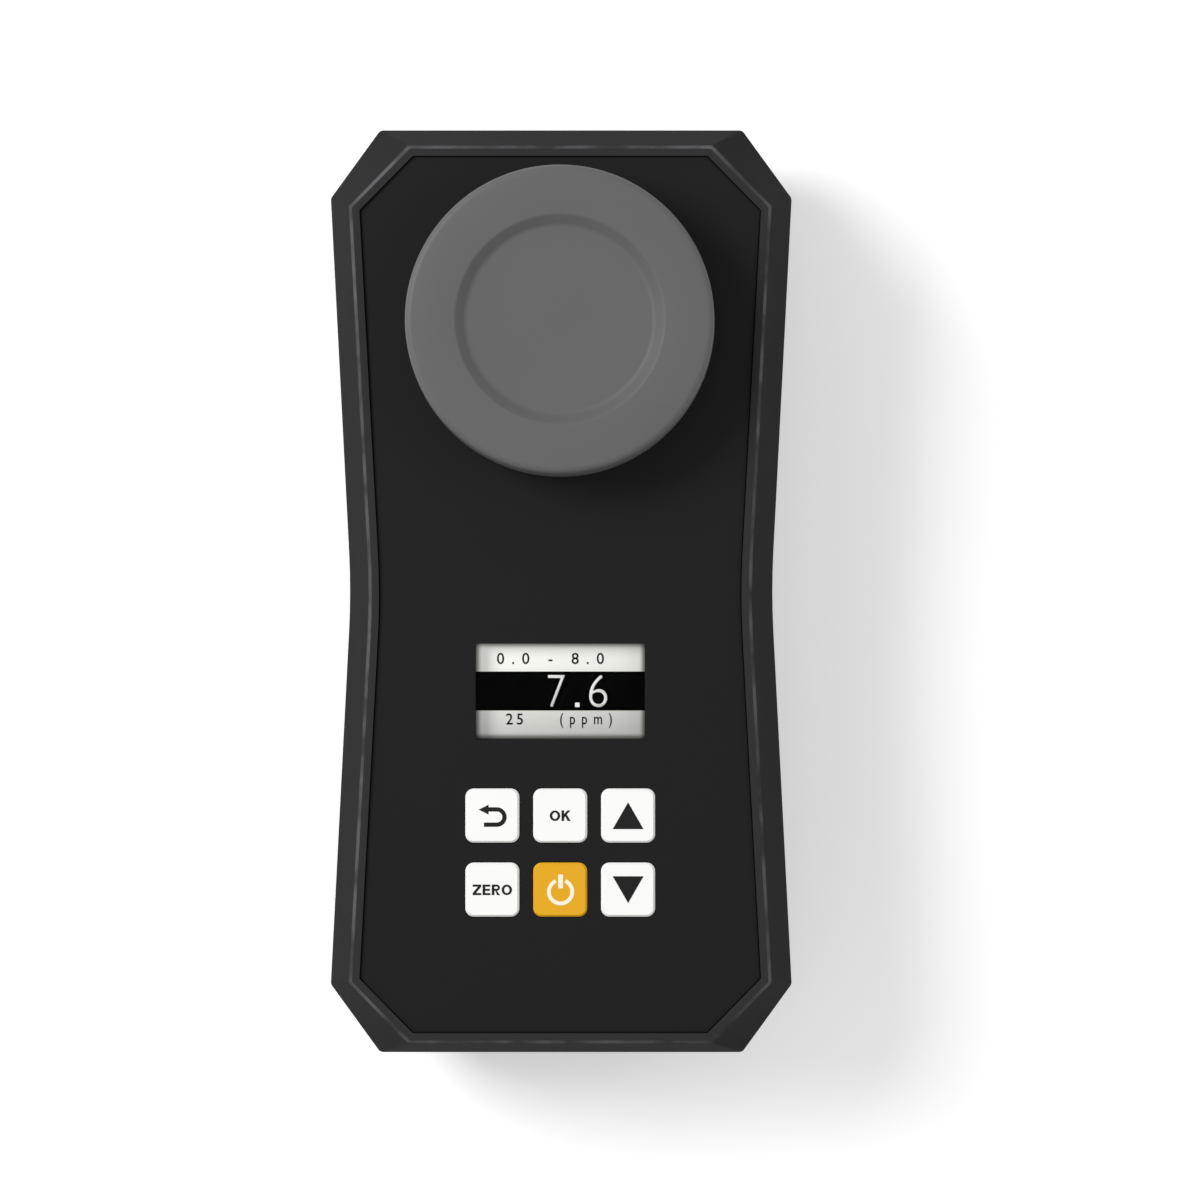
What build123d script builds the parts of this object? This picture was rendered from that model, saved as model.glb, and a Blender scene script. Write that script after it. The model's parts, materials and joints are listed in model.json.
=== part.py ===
from build123d import *
import math
import os

# Handheld water photometer, lying on its back.
# Origin at the middle of the footprint on the table, +Y towards the measuring chamber, +Z out of the face.
# All sizes in millimetres.

# Housing outline at the parting line
length = 168.0
width = 84.0
end_edge_inset = 9.0
side_corner_inset = 12.4
waist_inset = 3.7
waist_radius = 140.0
parting_corner_radius = 1.2
back_corner_radius = 1.2
rim_corner_radius = 0.4

# How far the face rim and the back draw in from the parting outline
rim_draw_in = 4.7
rim_end_draw_in = 6.2
rim_corner_draw_in = 3.0
back_draw_in = 5.0
back_end_draw_in = 5.5
back_corner_draw_in = 3.6

# Levels of the housing above the table
back_z = 1.0
parting_z = 22.0
rim_z = 44.0

# Walls and edges of the housing
wall = 2.6
face_wall = 2.5
rib = 1.2
parting_land = 1.5
seam_chamfer = 0.4
ridge_drop = 0.5
ridge_step = 0.5
back_edge_chamfer = 2.4

# Seal in the parting line
groove_inset = 0.8
groove_width = 1.1
groove_depth = 2.0
tongue_length = 1.05
seal_fit = 0.1

# Face panel
rim_width = 1.75
panel_recess = 0.6
panel_thickness = 0.5
panel_gap = 0.2

# Screws: shank radius, head radius and head height of each size.
# Heads, shanks and the holes round the shanks are six-sided, which keeps the many small screws light.
m3 = {"shank": 1.5, "head": 2.75, "head_height": 2.4}
m25 = {"shank": 1.25, "head": 2.1, "head_height": 1.2}
m2 = {"shank": 1.0, "head": 1.85, "head_height": 1.4}
thread_fit = 0.05
hole_fit = 0.2
hole_depth_spare = 0.5

# Housing screws: one in each corner and one on each side near the waist
screw_side_inset = 15.0
screw_end_inset = 14.0
waist_screw_y = 9.5
counterbore_depth = 7.0
housing_screw_length = 22.0
front_boss_radius = 3.5
back_boss_radius = 4.2

# Rubber feet, stuck on the flat of the back
foot_radius = 4.3
foot_side_inset = 13.5
foot_end_inset = 27.0

# Measuring chamber: a collar on the face with a round glass cell hung in it
cap_end_gap = 8.6
collar_wall = 2.8
collar_flange = 1.6
collar_fit = 0.1
collar_rise = 6.0
ledge_drop = 1.0
ledge_thickness = 5.0
cell_radius = 13.5
cell_wall = 1.5
cell_floor = 2.0
cell_fit = 0.3
cell_flange_height = 2.0
cell_flange_overhang = 0.4
cell_seal_land = 0.8
cell_seal_width = 1.5
cell_seal_height = 1.0

# Retainer ring over the cell
retainer_height = 4.5
retainer_band = 4.1
well_lip = 0.6
funnel_width = 2.0
funnel_depth = 1.5
retainer_screw_length = 8.0
retainer_screws_count = 3

# Chamber block below the collar
block_wall = 4.2
block_chamfer = 11.0
block_floor = 1.7
block_flange_inset = 1.0
block_flange_height = 4.0
block_screw_inset = 2.5
block_screw_length = 7.5
block_screws_count = 4
snout_width = 12.0
snout_margin = 4.0
pedestal_radius = 12.0
pedestal_height = 2.3
pedestal_gap = 0.1

# Optics: light paths through the cell, one above the other, named by their wavelength in nanometres
path_colours = [530, 570, 620]
first_path_height = 5.5
path_pitch = 7.5
channel_width = 2.0
channel_height = 3.0
aperture_wall = 1.7
optics_fit = 0.1
filter_thickness = 1.5
source_radius = 2.75
source_length = 8.4
source_gap = 0.6
source_fit = 0.25
detector_width = 5.4
detector_height = 4.3
detector_thickness = 3.2
side_board_thickness = 1.2

# Light cap
cap_wall = 2.1
cap_draft = 0.5
cap_skirt_gap = 1.2
cap_foot_gap = 0.2
cap_plate = 4.0
cap_edge_rise = 1.1
cap_edge_step = 0.35
dish_radius = 18.2
dish_slope = 1.8
dish_depth = 1.6
cap_rib_count = 6
cap_rib_gap = 0.3
cap_rib_width = 2.0
cap_rib_lead = 1.0
insert_fit = 0.3
insert_thickness = 2.0
plug_fit = 0.6
plug_gap = 1.3
plug_wall = 1.6
cap_seal_height = 1.5
cap_seal_gap = 0.1
cap_screw_gap = 0.25
cap_screw_length = 4.0
cap_screws_count = 3

# Main board, hung from the face on posts, with an arm on each side of the chamber
board_thickness = 1.6
standoff_height = 4.8
standoff_size = 5.0
board_side_gap = 1.0
board_end_inset = 14.0
bridge_boss_gap = 1.5
bridge_chamber_gap = 3.1
arm_overlap = 1.5
arm_width = 7.0
arm_reach = 11.9
board_screw_length = 5.0
board_screw_side_inset = 2.5
board_screw_end_inset = 8.0
arm_screw_end_inset = 3.0

# Display
window_width = 30.0
window_length = 17.0
window_end_inset = 66.8
lens_margin = 1.5
lens_thickness = 1.5
lens_gap = 0.2
lens_fit = 0.15
glass_side_margin = 3.0
glass_end_margin = 4.5
glass_thickness = 2.0
glass_gap = 0.4
light_step = 1.0
light_height = 2.0
display_frame_wall = 2.0
display_frame_lip = 0.1

# Keys, in rows below the display
key_names = [["back", "ok", "up"], ["zero", "power", "down"]]
key_size = 9.55
key_corner = 1.5
key_gap = 0.15
key_rise = 0.4
key_edge_chamfer = 0.35
key_flange_lip = 0.725
key_flange_height = 1.0
key_flange_gap = 0.1
key_flange_hold = 0.4
key_column_gap = 1.0
key_row_gap = 2.1
key_display_gap = 21.9
key_stem_size = 3.0
key_stem_length = 2.1
key_travel = 0.5
switch_size = 8.0
switch_height = 3.0
switch_bore_gap = 0.2
snap_width = 2.0
snap_length = 3.0
snap_rise = 0.25
snap_thickness = 0.15
snap_gap = 0.1

# Battery bay: cells side by side
battery_radius = 5.25
battery_length = 44.5
battery_nub_radius = 1.9
battery_nub = 0.8
battery_spacing = 0.5
battery_count = 3
bay_end_inset = 52.0
bay_wall = 1.6
bay_side_gap = 0.75
bay_roof_gap = 0.15
bay_rib_depth = 2.3
contact_thickness = 0.4
contact_width = 8.0
contact_height = 9.6
contact_gap = 0.05
spring_length = 4.5
spring_width = 5.0
spring_rise = 4.0
spring_tip = 1.2
tab_width = 3.0
tab_reach = 1.5
tab_fit = 0.2
tab_rise = 2.1

# Battery cover
cover_thickness = 2.2
cover_side_border = 6.0
cover_end_border = 10.05
cover_corner = 4.0
cover_fit = 0.15
cover_chamfer = 0.4
cover_seat_thickness = 2.6
cover_seat_margin = 2.0
cover_screw_side_inset = 6.0
cover_screw_end_inset = 4.0
cover_screw_length = 6.0
cover_boss_size = 6.0
cover_boss_height = 4.0
cradle_width = 2.0
cradle_height = 0.8
cradle_y = 15.0
cradle_gap = 0.15
cover_seal_width = 1.4
cover_seal_height = 0.9
cover_seal_margin = 1.0

# Leads from the battery contacts to the board
lead_radius = 0.7
lead_bend = 3.0
lead_run = 5.0
terminal_size = 4.0
terminal_height = 3.0

# Parts under the main board
chip_size = 12.0
chip_height = 1.4
chip_end_gap = 26.0
radio_width = 13.0
radio_length = 18.0
radio_height = 2.4
radio_gap = 8.0
capacitor_size = 4.0
capacitor_height = 2.5
capacitor_x = 12.0
capacitor_gaps = [5.8, 12.8]
header_long = 10.0
header_wide = 3.0
header_height = 5.0
header_end_inset = 4.0
arm_header_gap = 20.1

# Housing levels and places
half_length = length / 2
half_width = width / 2
front_land_z = parting_z + parting_land
back_land_z = parting_z - parting_land
panel_top_z = rim_z - panel_recess
panel_floor_z = panel_top_z - panel_thickness
face_under_z = panel_floor_z - face_wall
floor_z = back_z + wall
screw_x = half_width - screw_side_inset
screw_y = half_length - screw_end_inset
screw_seat_z = back_z + counterbore_depth
foot_x = half_width - foot_side_inset
foot_y = half_length - foot_end_inset

# Chamber radii, levels and places
cell_bore = cell_radius + cell_fit
cell_seal_inner = cell_bore + cell_seal_land
cell_seal_outer = cell_seal_inner + cell_seal_width
cell_flange_radius = cell_seal_outer + cell_flange_overhang
retainer_inner = cell_flange_radius + cell_fit
retainer_radius = retainer_inner + retainer_band
collar_bore = retainer_radius + cell_fit
collar_radius = collar_bore + collar_wall
cap_skirt_inner = collar_radius + cap_skirt_gap
cap_radius = cap_skirt_inner + cap_wall
chamber_y = half_length - cap_radius - cap_end_gap
collar_top_z = panel_top_z + collar_rise
ledge_z = panel_floor_z - ledge_drop
ledge_under_z = ledge_z - ledge_thickness
cell_flange_top_z = ledge_z + cell_flange_height
retainer_bore = cell_radius - cell_wall + well_lip
retainer_top_z = ledge_z + retainer_height
retainer_screw_circle = (retainer_inner + retainer_radius) / 2
block_width = 2 * (cell_bore + block_wall)
block_bottom_z = floor_z + pedestal_height + pedestal_gap
block_flange_radius = collar_radius - block_flange_inset
block_flange_z = ledge_under_z - block_flange_height
block_screw_circle = block_flange_radius - block_screw_inset
cell_bottom_z = block_bottom_z + block_floor + cell_fit
path_z = [cell_bottom_z + first_path_height + i * path_pitch for i in range(len(path_colours))]
snout_bottom_z = path_z[0] - snout_margin
snout_top_z = path_z[-1] + snout_margin
pocket_radius = source_radius + source_fit
filter_face_x = cell_bore + aperture_wall
snout_reach = filter_face_x + filter_thickness + source_gap + source_length

# Light cap radii and levels
cap_foot_z = panel_top_z + cap_foot_gap
insert_under_z = collar_top_z + cap_seal_gap + cap_seal_height
cap_plate_z = insert_under_z + insert_thickness
height = cap_plate_z + cap_plate
cap_top_radius = cap_radius - cap_draft
cap_rib_bore = collar_radius + cap_rib_gap
insert_radius = cap_rib_bore - insert_fit
plug_radius = retainer_bore - plug_fit
plug_bottom_z = cell_flange_top_z + plug_gap
cap_seal_inner = collar_bore + seal_fit
cap_screw_circle = cap_seal_inner - m2["head"] - cap_screw_gap

# Board levels and places
board_top_z = face_under_z - standoff_height
board_under_z = board_top_z - board_thickness
board_half_width = screw_x - front_boss_radius - board_side_gap
board_bottom_y = board_end_inset - half_length
bridge_bottom_y = waist_screw_y + front_boss_radius + bridge_boss_gap
bridge_top_y = chamber_y - block_flange_radius - bridge_chamber_gap
arm_inner_x = snout_reach - arm_overlap
arm_outer_x = arm_inner_x + arm_width
arm_middle_x = (arm_inner_x + arm_outer_x) / 2
arm_top_y = chamber_y + arm_reach
arm_header_y = chamber_y - arm_header_gap
chip_y = board_bottom_y + chip_end_gap
radio_y = bridge_top_y - radio_gap - radio_length / 2

# Display and key levels and places
window_y = window_end_inset - half_length
lens_top_z = panel_floor_z - lens_gap
glass_width = window_width + 2 * glass_side_margin
glass_length = window_length + 2 * glass_end_margin
glass_top_z = face_under_z - glass_gap
light_base_z = glass_top_z - glass_thickness - light_height
key_top_z = panel_top_z + key_rise
key_flange = key_size + 2 * key_flange_lip
key_flange_z = face_under_z - key_flange_gap - key_flange_height
key_stem_z = key_flange_z - key_stem_length

# Battery bay and cover levels and sizes
bay_y = bay_end_inset - half_length
cover_top_z = back_z + cover_thickness
cover_seat_z = cover_top_z + cover_seat_thickness
battery_pitch = 2 * battery_radius + battery_spacing
battery_z = cover_top_z + cradle_height + cradle_gap + battery_radius
bay_roof_z = battery_z + battery_radius + bay_roof_gap
bay_width = (battery_count - 1) * battery_pitch + 2 * (battery_radius + bay_side_gap)
bay_length = battery_length + 2 * (contact_thickness + contact_gap) + spring_length
cover_width = bay_width + 2 * cover_side_border
cover_length = bay_length + 2 * cover_end_border
cover_screw_x = cover_width / 2 - cover_screw_side_inset
cover_screw_y = cover_length / 2 - cover_screw_end_inset
tab_z = battery_z + tab_rise

# Outlines, each as the end of its end edge, its side corner and its waist
parting_outline = [
    (half_width - end_edge_inset, half_length),
    (half_width, half_length - side_corner_inset),
    (half_width - waist_inset, 0.0),
]


def drawn_in(outline, sides, end, corner):
    """An outline with its sides, the ends of its end edges and its side corners drawn in."""
    (end_x, end_y), (side_x, side_y), (waist_x, waist_y) = outline
    return [(end_x - end, end_y - sides), (side_x - sides, side_y - corner), (waist_x - sides, waist_y)]


rim_outline = drawn_in(parting_outline, rim_draw_in, rim_end_draw_in, rim_corner_draw_in)
back_outline = drawn_in(parting_outline, back_draw_in, back_end_draw_in, back_corner_draw_in)


def moved_line(start, finish, distance):
    """A point and the direction of a line that is moved to its right."""
    direction = (Vector(*finish) - Vector(*start)).normalized()
    right = Vector(direction.Y, -direction.X)
    return Vector(*start) + right * distance, direction


def crossing(first, second):
    """The point where two lines meet, as a pair."""
    (point, direction), (other, other_direction) = first, second
    reach = (other - point).cross(other_direction).Z / direction.cross(other_direction).Z
    meeting = point + direction * reach
    return (meeting.X, meeting.Y)


def inset(outline, distance):
    """The same outline with every side moved inwards."""
    end, side, waist = outline
    top = moved_line((0.0, end[1]), end, distance)
    corner = moved_line(end, side, distance)
    flank = moved_line(side, waist, distance)
    middle = (Vector(0.0, 0.0), Vector(1.0, 0.0))
    return [crossing(top, corner), crossing(corner, flank), crossing(flank, middle)]


def blend(first, second, share):
    """An outline part of the way from one outline to another."""
    pairs = zip(first, second)
    return [(a[0] + (b[0] - a[0]) * share, a[1] + (b[1] - a[1]) * share) for a, b in pairs]


def front_outline(z):
    """The outside of the front shell at a height above its parting land."""
    return blend(parting_outline, rim_outline, (z - front_land_z) / (rim_z - front_land_z))


def back_shell_outline(z):
    """The outside of the back shell at a height below its parting land."""
    return blend(back_outline, parting_outline, (z - back_z) / (back_land_z - back_z))


def section(outline, z, corner=0.0):
    """A face with the full waisted outline at one height, its corners rounded where a radius is given."""
    end, side, waist = outline
    right = [end, side, waist, (side[0], -side[1]), (end[0], -end[1])]
    left = [(-x, y) for x, y in reversed(right)]
    face = make_face(Polyline(*right, *left, close=True))
    waists = face.vertices().sort_by(lambda v: abs(v.Y))[:2]
    face = fillet(waists, waist_radius)
    if corner:
        corners = face.vertices().filter_by(lambda v: abs(v.Y) > side[1] - corner)
        face = fillet(corners, corner)
    return Pos(0, 0, z) * face


def disc(radius, bottom, top, at=(0.0, 0.0)):
    """A round solid between two heights."""
    return Pos(at[0], at[1], bottom) * extrude(Circle(radius), top - bottom)


def ring(outer, inner, bottom, top, at=(0.0, 0.0)):
    """A tube between two heights."""
    return Pos(at[0], at[1], bottom) * extrude(Circle(outer) - Circle(inner), top - bottom)


def slab(wide, long, bottom, top, at=(0.0, 0.0), corner=0.0):
    """A rectangular block between two heights, with rounded upright edges where a radius is given."""
    sketch = RectangleRounded(wide, long, corner) if corner else Rectangle(wide, long)
    return Pos(at[0], at[1], bottom) * extrude(sketch, top - bottom)


def rod(radius, start_x, end_x, z):
    """A round bar along X at the middle of the chamber."""
    upright = extrude(Circle(radius), abs(end_x - start_x))
    return Pos(min(start_x, end_x), chamber_y, z) * Rot(0, 90, 0) * upright


def turned(profile, at=(0.0, 0.0)):
    """A solid of revolution about an upright axis, from radius and height pairs."""
    face = make_face(Polyline(*profile, close=True))
    return Pos(at[0], at[1]) * revolve(Plane.XZ * face, Axis.Z)


def mirrored_places(places):
    """Each place and its mirror image on the other side of the middle."""
    return [(side * x, y) for x, y in places for side in (1, -1)]


def around(count, circle, start=0.0):
    """Places evenly round the chamber axis."""
    angles = [math.radians(start + 360.0 * i / count) for i in range(count)]
    return [(circle * math.cos(a), chamber_y + circle * math.sin(a)) for a in angles]


def screw(size, seat_z, reach, at, upwards=True):
    """A screw with its head under the seat, or on it where the screw points down."""
    side = 1 if upwards else -1
    head = extrude(RegularPolygon(size["head"], 6), -side * size["head_height"])
    shank = extrude(RegularPolygon(size["shank"], 6), side * reach)
    return Pos(at[0], at[1], seat_z) * (head + shank)


def six_sided(radius, bottom, top, at):
    """A six-sided bar between two heights."""
    return Pos(at[0], at[1], bottom) * extrude(RegularPolygon(radius, 6), top - bottom)


def pilot(size, bottom, top, at):
    """The hole that a screw threads into."""
    return six_sided(size["shank"] + thread_fit, bottom, top, at)


def clearance(size, bottom, top, at):
    """The hole that a screw passes through."""
    return six_sided(size["shank"] + hole_fit, bottom, top, at)


# Front shell

def key_places():
    """The name and place of each key, row by row."""
    places = []
    for row, names in enumerate(key_names):
        y = window_y - key_display_gap - row * (key_flange + key_row_gap)
        for column, name in enumerate(names):
            x = (column - (len(names) - 1) / 2) * (key_flange + key_column_gap)
            places.append((name, (x, y)))
    return places


def key_holes():
    """The close-fitting holes in the panel."""
    size = key_size + 2 * key_gap
    return [slab(size, size, 0, height, at, key_corner + key_gap) for _, at in key_places()]


def key_shafts():
    """The wider square holes in the shell below, which the key flanges bear against."""
    size = key_flange - 2 * key_flange_hold
    return [slab(size, size, face_under_z, height, at) for _, at in key_places()]


def housing_screw_places():
    return mirrored_places([(screw_x, screw_y), (screw_x, waist_screw_y), (screw_x, -screw_y)])


def boss_webs(bottom, top):
    """Thin webs that tie the screw bosses to the side and end walls."""
    webs = []
    for x, y in housing_screw_places():
        side_x = math.copysign((half_width + screw_x) / 2, x)
        webs.append(slab(screw_side_inset, rib, bottom, top, (side_x, y)))
        if abs(y) == screw_y:
            end_y = math.copysign((half_length + screw_y) / 2, y)
            webs.append(slab(rib, screw_end_inset, bottom, top, (x, end_y)))
    return webs


def front_outside():
    """The outside of the front shell, with its sides chamfered up to a narrow ridge round the rim."""
    ridge_z = rim_z - ridge_drop
    corner = parting_corner_radius
    return loft(
        [
            section(inset(parting_outline, seam_chamfer), parting_z, corner),
            section(parting_outline, parting_z + seam_chamfer, corner),
            section(parting_outline, front_land_z, corner),
            section(front_outline(ridge_z), ridge_z, rim_corner_radius),
            section(inset(rim_outline, ridge_step), rim_z, rim_corner_radius),
        ],
        ruled=True,
    )


def front_inside():
    return loft(
        [
            section(inset(parting_outline, wall), parting_z),
            section(inset(parting_outline, wall), front_land_z),
            section(inset(front_outline(face_under_z), wall), face_under_z),
        ],
        ruled=True,
    )


def seal_band(start, band, bottom, top):
    """A thin band that follows the parting outline."""
    outer = extrude(section(inset(parting_outline, start), bottom), top - bottom)
    inner = extrude(section(inset(parting_outline, start + band), bottom), top - bottom)
    return outer - inner


def front_shell():
    outside = front_outside()
    bosses = [disc(front_boss_radius, parting_z, face_under_z, at) for at in housing_screw_places()]
    posts = board_screw_places()
    standoffs = [slab(standoff_size, standoff_size, board_top_z, face_under_z, at) for at in posts]
    webs = [web & outside for web in boss_webs(parting_z + tongue_length, face_under_z)]
    tongue = seal_band(
        groove_inset + seal_fit, groove_width - 2 * seal_fit, parting_z - tongue_length, parting_z
    )
    shell = outside - front_inside()
    shell = shell + bosses + standoffs + webs + tongue
    shell -= extrude(section(inset(rim_outline, rim_width), panel_floor_z), rim_z)
    return shell - front_shell_cuts()


def front_shell_cuts():
    """Everything that is cut through the face: the collar's hole, the window, the keys and the screw holes."""
    cuts = [disc(collar_radius + collar_fit, face_under_z, height, (0.0, chamber_y))]
    window = (0.0, window_y)
    lens_wide = window_width + 2 * (lens_margin + lens_fit)
    lens_long = window_length + 2 * (lens_margin + lens_fit)
    cuts.append(slab(window_width, window_length, 0, height, window))
    cuts.append(slab(lens_wide, lens_long, lens_top_z - lens_thickness, height, window))
    cuts += key_shafts()
    screw_top = screw_seat_z + housing_screw_length + hole_depth_spare
    cuts += [pilot(m3, parting_z, screw_top, at) for at in housing_screw_places()]
    board_hole_top = board_under_z + board_screw_length + thread_fit
    return cuts + [pilot(m25, board_top_z, board_hole_top, at) for at in board_screw_places()]


def block_screw_places():
    return around(block_screws_count, block_screw_circle, 180.0 / block_screws_count)


def retainer_screw_places():
    return around(retainer_screws_count, retainer_screw_circle)


def front_panel():
    panel = extrude(section(inset(rim_outline, rim_width + panel_gap), panel_floor_z), panel_thickness)
    panel -= disc(collar_radius + panel_gap, 0, height, (0.0, chamber_y))
    panel -= slab(window_width, window_length, 0, height, (0.0, window_y))
    return panel - key_holes()


# Back shell

def back_outside():
    chamfer_z = back_z + back_edge_chamfer
    corner = parting_corner_radius
    return loft(
        [
            section(inset(back_outline, back_edge_chamfer), back_z, back_corner_radius),
            section(back_shell_outline(chamfer_z), chamfer_z, back_corner_radius),
            section(parting_outline, back_land_z, corner),
            section(parting_outline, parting_z - seam_chamfer, corner),
            section(inset(parting_outline, seam_chamfer), parting_z, corner),
        ],
        ruled=True,
    )


def back_inside():
    return loft(
        [
            section(inset(back_shell_outline(floor_z), wall), floor_z),
            section(inset(parting_outline, wall), back_land_z),
            section(inset(parting_outline, wall), parting_z),
        ],
        ruled=True,
    )


def foot_places():
    return mirrored_places([(foot_x, foot_y), (foot_x, -foot_y)])


def cover_screw_places():
    ends = (bay_y + cover_screw_y, bay_y - cover_screw_y)
    return mirrored_places([(cover_screw_x, y) for y in ends])


def back_shell():
    outside = back_outside()
    bay = (0.0, bay_y)
    seat_wide = cover_width + 2 * (cover_seat_margin + cover_fit)
    seat_long = cover_length + 2 * (cover_seat_margin + cover_fit)
    box_wide = bay_width + 2 * bay_wall
    box_long = bay_length + 2 * bay_wall
    pedestal_top = floor_z + pedestal_height
    boss_top = cover_seat_z + cover_boss_height
    fittings = [disc(back_boss_radius, back_z, parting_z, at) for at in housing_screw_places()]
    fittings += [slab(cover_boss_size, cover_boss_size, back_z, boss_top, at) for at in cover_screw_places()]
    fittings.append(slab(seat_wide, seat_long, back_z, cover_seat_z, bay, cover_corner))
    fittings.append(slab(box_wide, box_long, back_z, bay_roof_z + bay_wall, bay, bay_wall))
    fittings.append(ring(pedestal_radius, pedestal_radius - wall, back_z, pedestal_top, (0.0, chamber_y)))
    fittings += boss_webs(back_z, parting_z - groove_depth)
    fittings = [piece & outside for piece in fittings]
    shell = outside - back_inside() + fittings
    return shell - back_shell_cuts(bay)


def back_shell_cuts(bay):
    """The seal groove, the screw holes and the battery bay with its cover's seat."""
    cuts = [seal_band(groove_inset, groove_width, parting_z - groove_depth, parting_z)]
    cuts += [disc(m3["head"] + hole_fit, 0, screw_seat_z, at) for at in housing_screw_places()]
    cuts += [clearance(m3, screw_seat_z, parting_z, at) for at in housing_screw_places()]
    pocket_wide = cover_width + 2 * cover_fit
    pocket_long = cover_length + 2 * cover_fit
    cuts.append(slab(pocket_wide, pocket_long, 0, cover_top_z, bay, cover_corner))
    cover_hole_top = back_z + m25["head_height"] + cover_screw_length + thread_fit
    cuts += [pilot(m25, cover_top_z, cover_hole_top, at) for at in cover_screw_places()]
    cuts.append(cover_seal(cover_seal_height + seal_fit, seal_fit / 2))
    return cuts + [bay_space(bay)] + tab_slots()


def bay_space(bay):
    """The room for the cells, with a low rib between each two."""
    space = slab(bay_width, bay_length, 0, bay_roof_z, bay)
    between = [(i - (battery_count - 2) / 2) * battery_pitch for i in range(battery_count - 1)]
    long = bay_length - 2 * spring_length
    ribs = [slab(rib, long, bay_roof_z - bay_rib_depth, bay_roof_z, (x, bay_y)) for x in between]
    return space - ribs


def housing_gasket():
    low = parting_z - groove_depth
    high = parting_z - tongue_length - seal_fit
    return seal_band(groove_inset + seal_fit / 2, groove_width - seal_fit, low, high)


def housing_screws():
    return [screw(m3, screw_seat_z, housing_screw_length, at) for at in housing_screw_places()]


# Battery bay

def battery_cover():
    cover = slab(cover_width, cover_length, back_z, cover_top_z, (0.0, bay_y), cover_corner)
    cover = chamfer(cover.edges().group_by(Axis.Z)[0], cover_chamfer)
    cradle_top = cover_top_z + cradle_height
    for y in (bay_y - cradle_y, bay_y + cradle_y):
        cover += slab(bay_width - 2 * bay_side_gap, cradle_width, cover_top_z, cradle_top, (0.0, y))
    for at in cover_screw_places():
        cover -= disc(m25["head"] + hole_fit, 0, back_z + m25["head_height"], at)
        cover -= clearance(m25, 0, cover_top_z, at)
    return cover


def cover_seal(seal_height, spread):
    """The seal round the bay, on the inside of the cover, or its groove where it is spread."""
    inner = 2 * (cover_seal_margin - spread)
    outer = 2 * (cover_seal_margin + cover_seal_width + spread)
    top = cover_top_z + seal_height
    bay = (0.0, bay_y)
    band = slab(bay_width + outer, bay_length + outer, cover_top_z, top, bay, cover_seal_width + spread)
    return band - slab(bay_width + inner, bay_length + inner, cover_top_z, top, bay)


def cover_screws():
    seat = back_z + m25["head_height"]
    return [screw(m25, seat, cover_screw_length, at) for at in cover_screw_places()]


def battery_x(index):
    return (index - (battery_count - 1) / 2) * battery_pitch


def battery_up(index):
    """+1 where the cell's positive end is towards the chamber, or -1."""
    return 1 if index % 2 == 0 else -1


def battery(index):
    """One cell, pushed by its spring against the contact at its positive end."""
    half = battery_length / 2
    shoulder = half - battery_nub
    profile = [
        (0, -half),
        (battery_radius, -half),
        (battery_radius, shoulder),
        (battery_nub_radius, shoulder),
        (battery_nub_radius, half),
        (0, half),
    ]
    cell = turned(profile)
    side = battery_up(index)
    shift = side * spring_length / 2
    return Pos(battery_x(index), bay_y + shift, battery_z) * Rot(-side * 90, 0, 0) * cell


def contact(first, last, end):
    """A flat contact across one or two cells at one end of the bay."""
    wide = contact_width + (last - first) * battery_pitch
    x = (battery_x(first) + battery_x(last)) / 2
    y = bay_y + end * (bay_length - contact_thickness) / 2
    low = battery_z - contact_height / 2
    return slab(wide, contact_thickness, low, low + contact_height, (x, y))


def tab(index, end, fit):
    """The tab that takes a contact out through the end wall of the bay, or its slot where a fit is given."""
    start = bay_length / 2
    reach = bay_wall + tab_reach
    y = bay_y + end * (start + reach / 2)
    half = contact_thickness / 2 + fit
    return slab(tab_width + 2 * fit, reach, tab_z - half, tab_z + half, (battery_x(index), y))


def lead_ends():
    """The cell and the end of the bay that each lead starts from."""
    return {"red": (0, 1), "black": (battery_count - 1, -1)}


def tab_slots():
    return [tab(index, end, tab_fit) for index, end in lead_ends().values()]


def battery_plates():
    first, last = 0, battery_count - 1
    plates = [contact(first, first, 1) + tab(first, 1, 0), contact(last, last, -1) + tab(last, -1, 0)]
    for index in range(battery_count - 1):
        plates.append(contact(index, index + 1, -battery_up(index)))
    return plates


def battery_springs():
    """A bent leaf between each cell's negative end and its contact."""
    springs = []
    for index in range(battery_count):
        end = -battery_up(index)
        base_y = bay_y + end * (bay_length / 2 - contact_thickness - contact_thickness / 2)
        tip_y = base_y - end * (spring_length - contact_thickness - contact_gap)
        bend = Polyline(
            (base_y, battery_z - spring_rise),
            (tip_y, battery_z - spring_tip),
            (tip_y, battery_z + spring_tip),
            (base_y, battery_z + spring_rise),
        )
        strip = extrude(Plane.YZ * trace(bend, contact_thickness), spring_width / 2, both=True)
        springs.append(Pos(battery_x(index), 0, 0) * strip)
    return springs


def lead(colour):
    """A lead from its contact tab straight out, round one bend and up to its terminal."""
    index, end = lead_ends()[colour]
    x = battery_x(index)
    start_y = bay_y + end * (bay_length / 2 + bay_wall + tab_reach)
    path = FilletPolyline(
        (x, start_y, tab_z),
        (x, start_y + end * lead_run, tab_z),
        (x, start_y + end * lead_run, board_under_z - terminal_height),
        radius=lead_bend,
    )
    return sweep(Plane(path @ 0, z_dir=path % 0) * RegularPolygon(lead_radius, 6), path)


def terminal_places():
    places = []
    for index, end in lead_ends().values():
        reach = bay_length / 2 + bay_wall + tab_reach + lead_run
        places.append((battery_x(index), bay_y + end * reach))
    return places


# Boards

def board_screw_places():
    low = (board_half_width - board_screw_side_inset, board_bottom_y + board_screw_end_inset)
    return mirrored_places([low, (arm_middle_x, arm_top_y - arm_screw_end_inset)])


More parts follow.
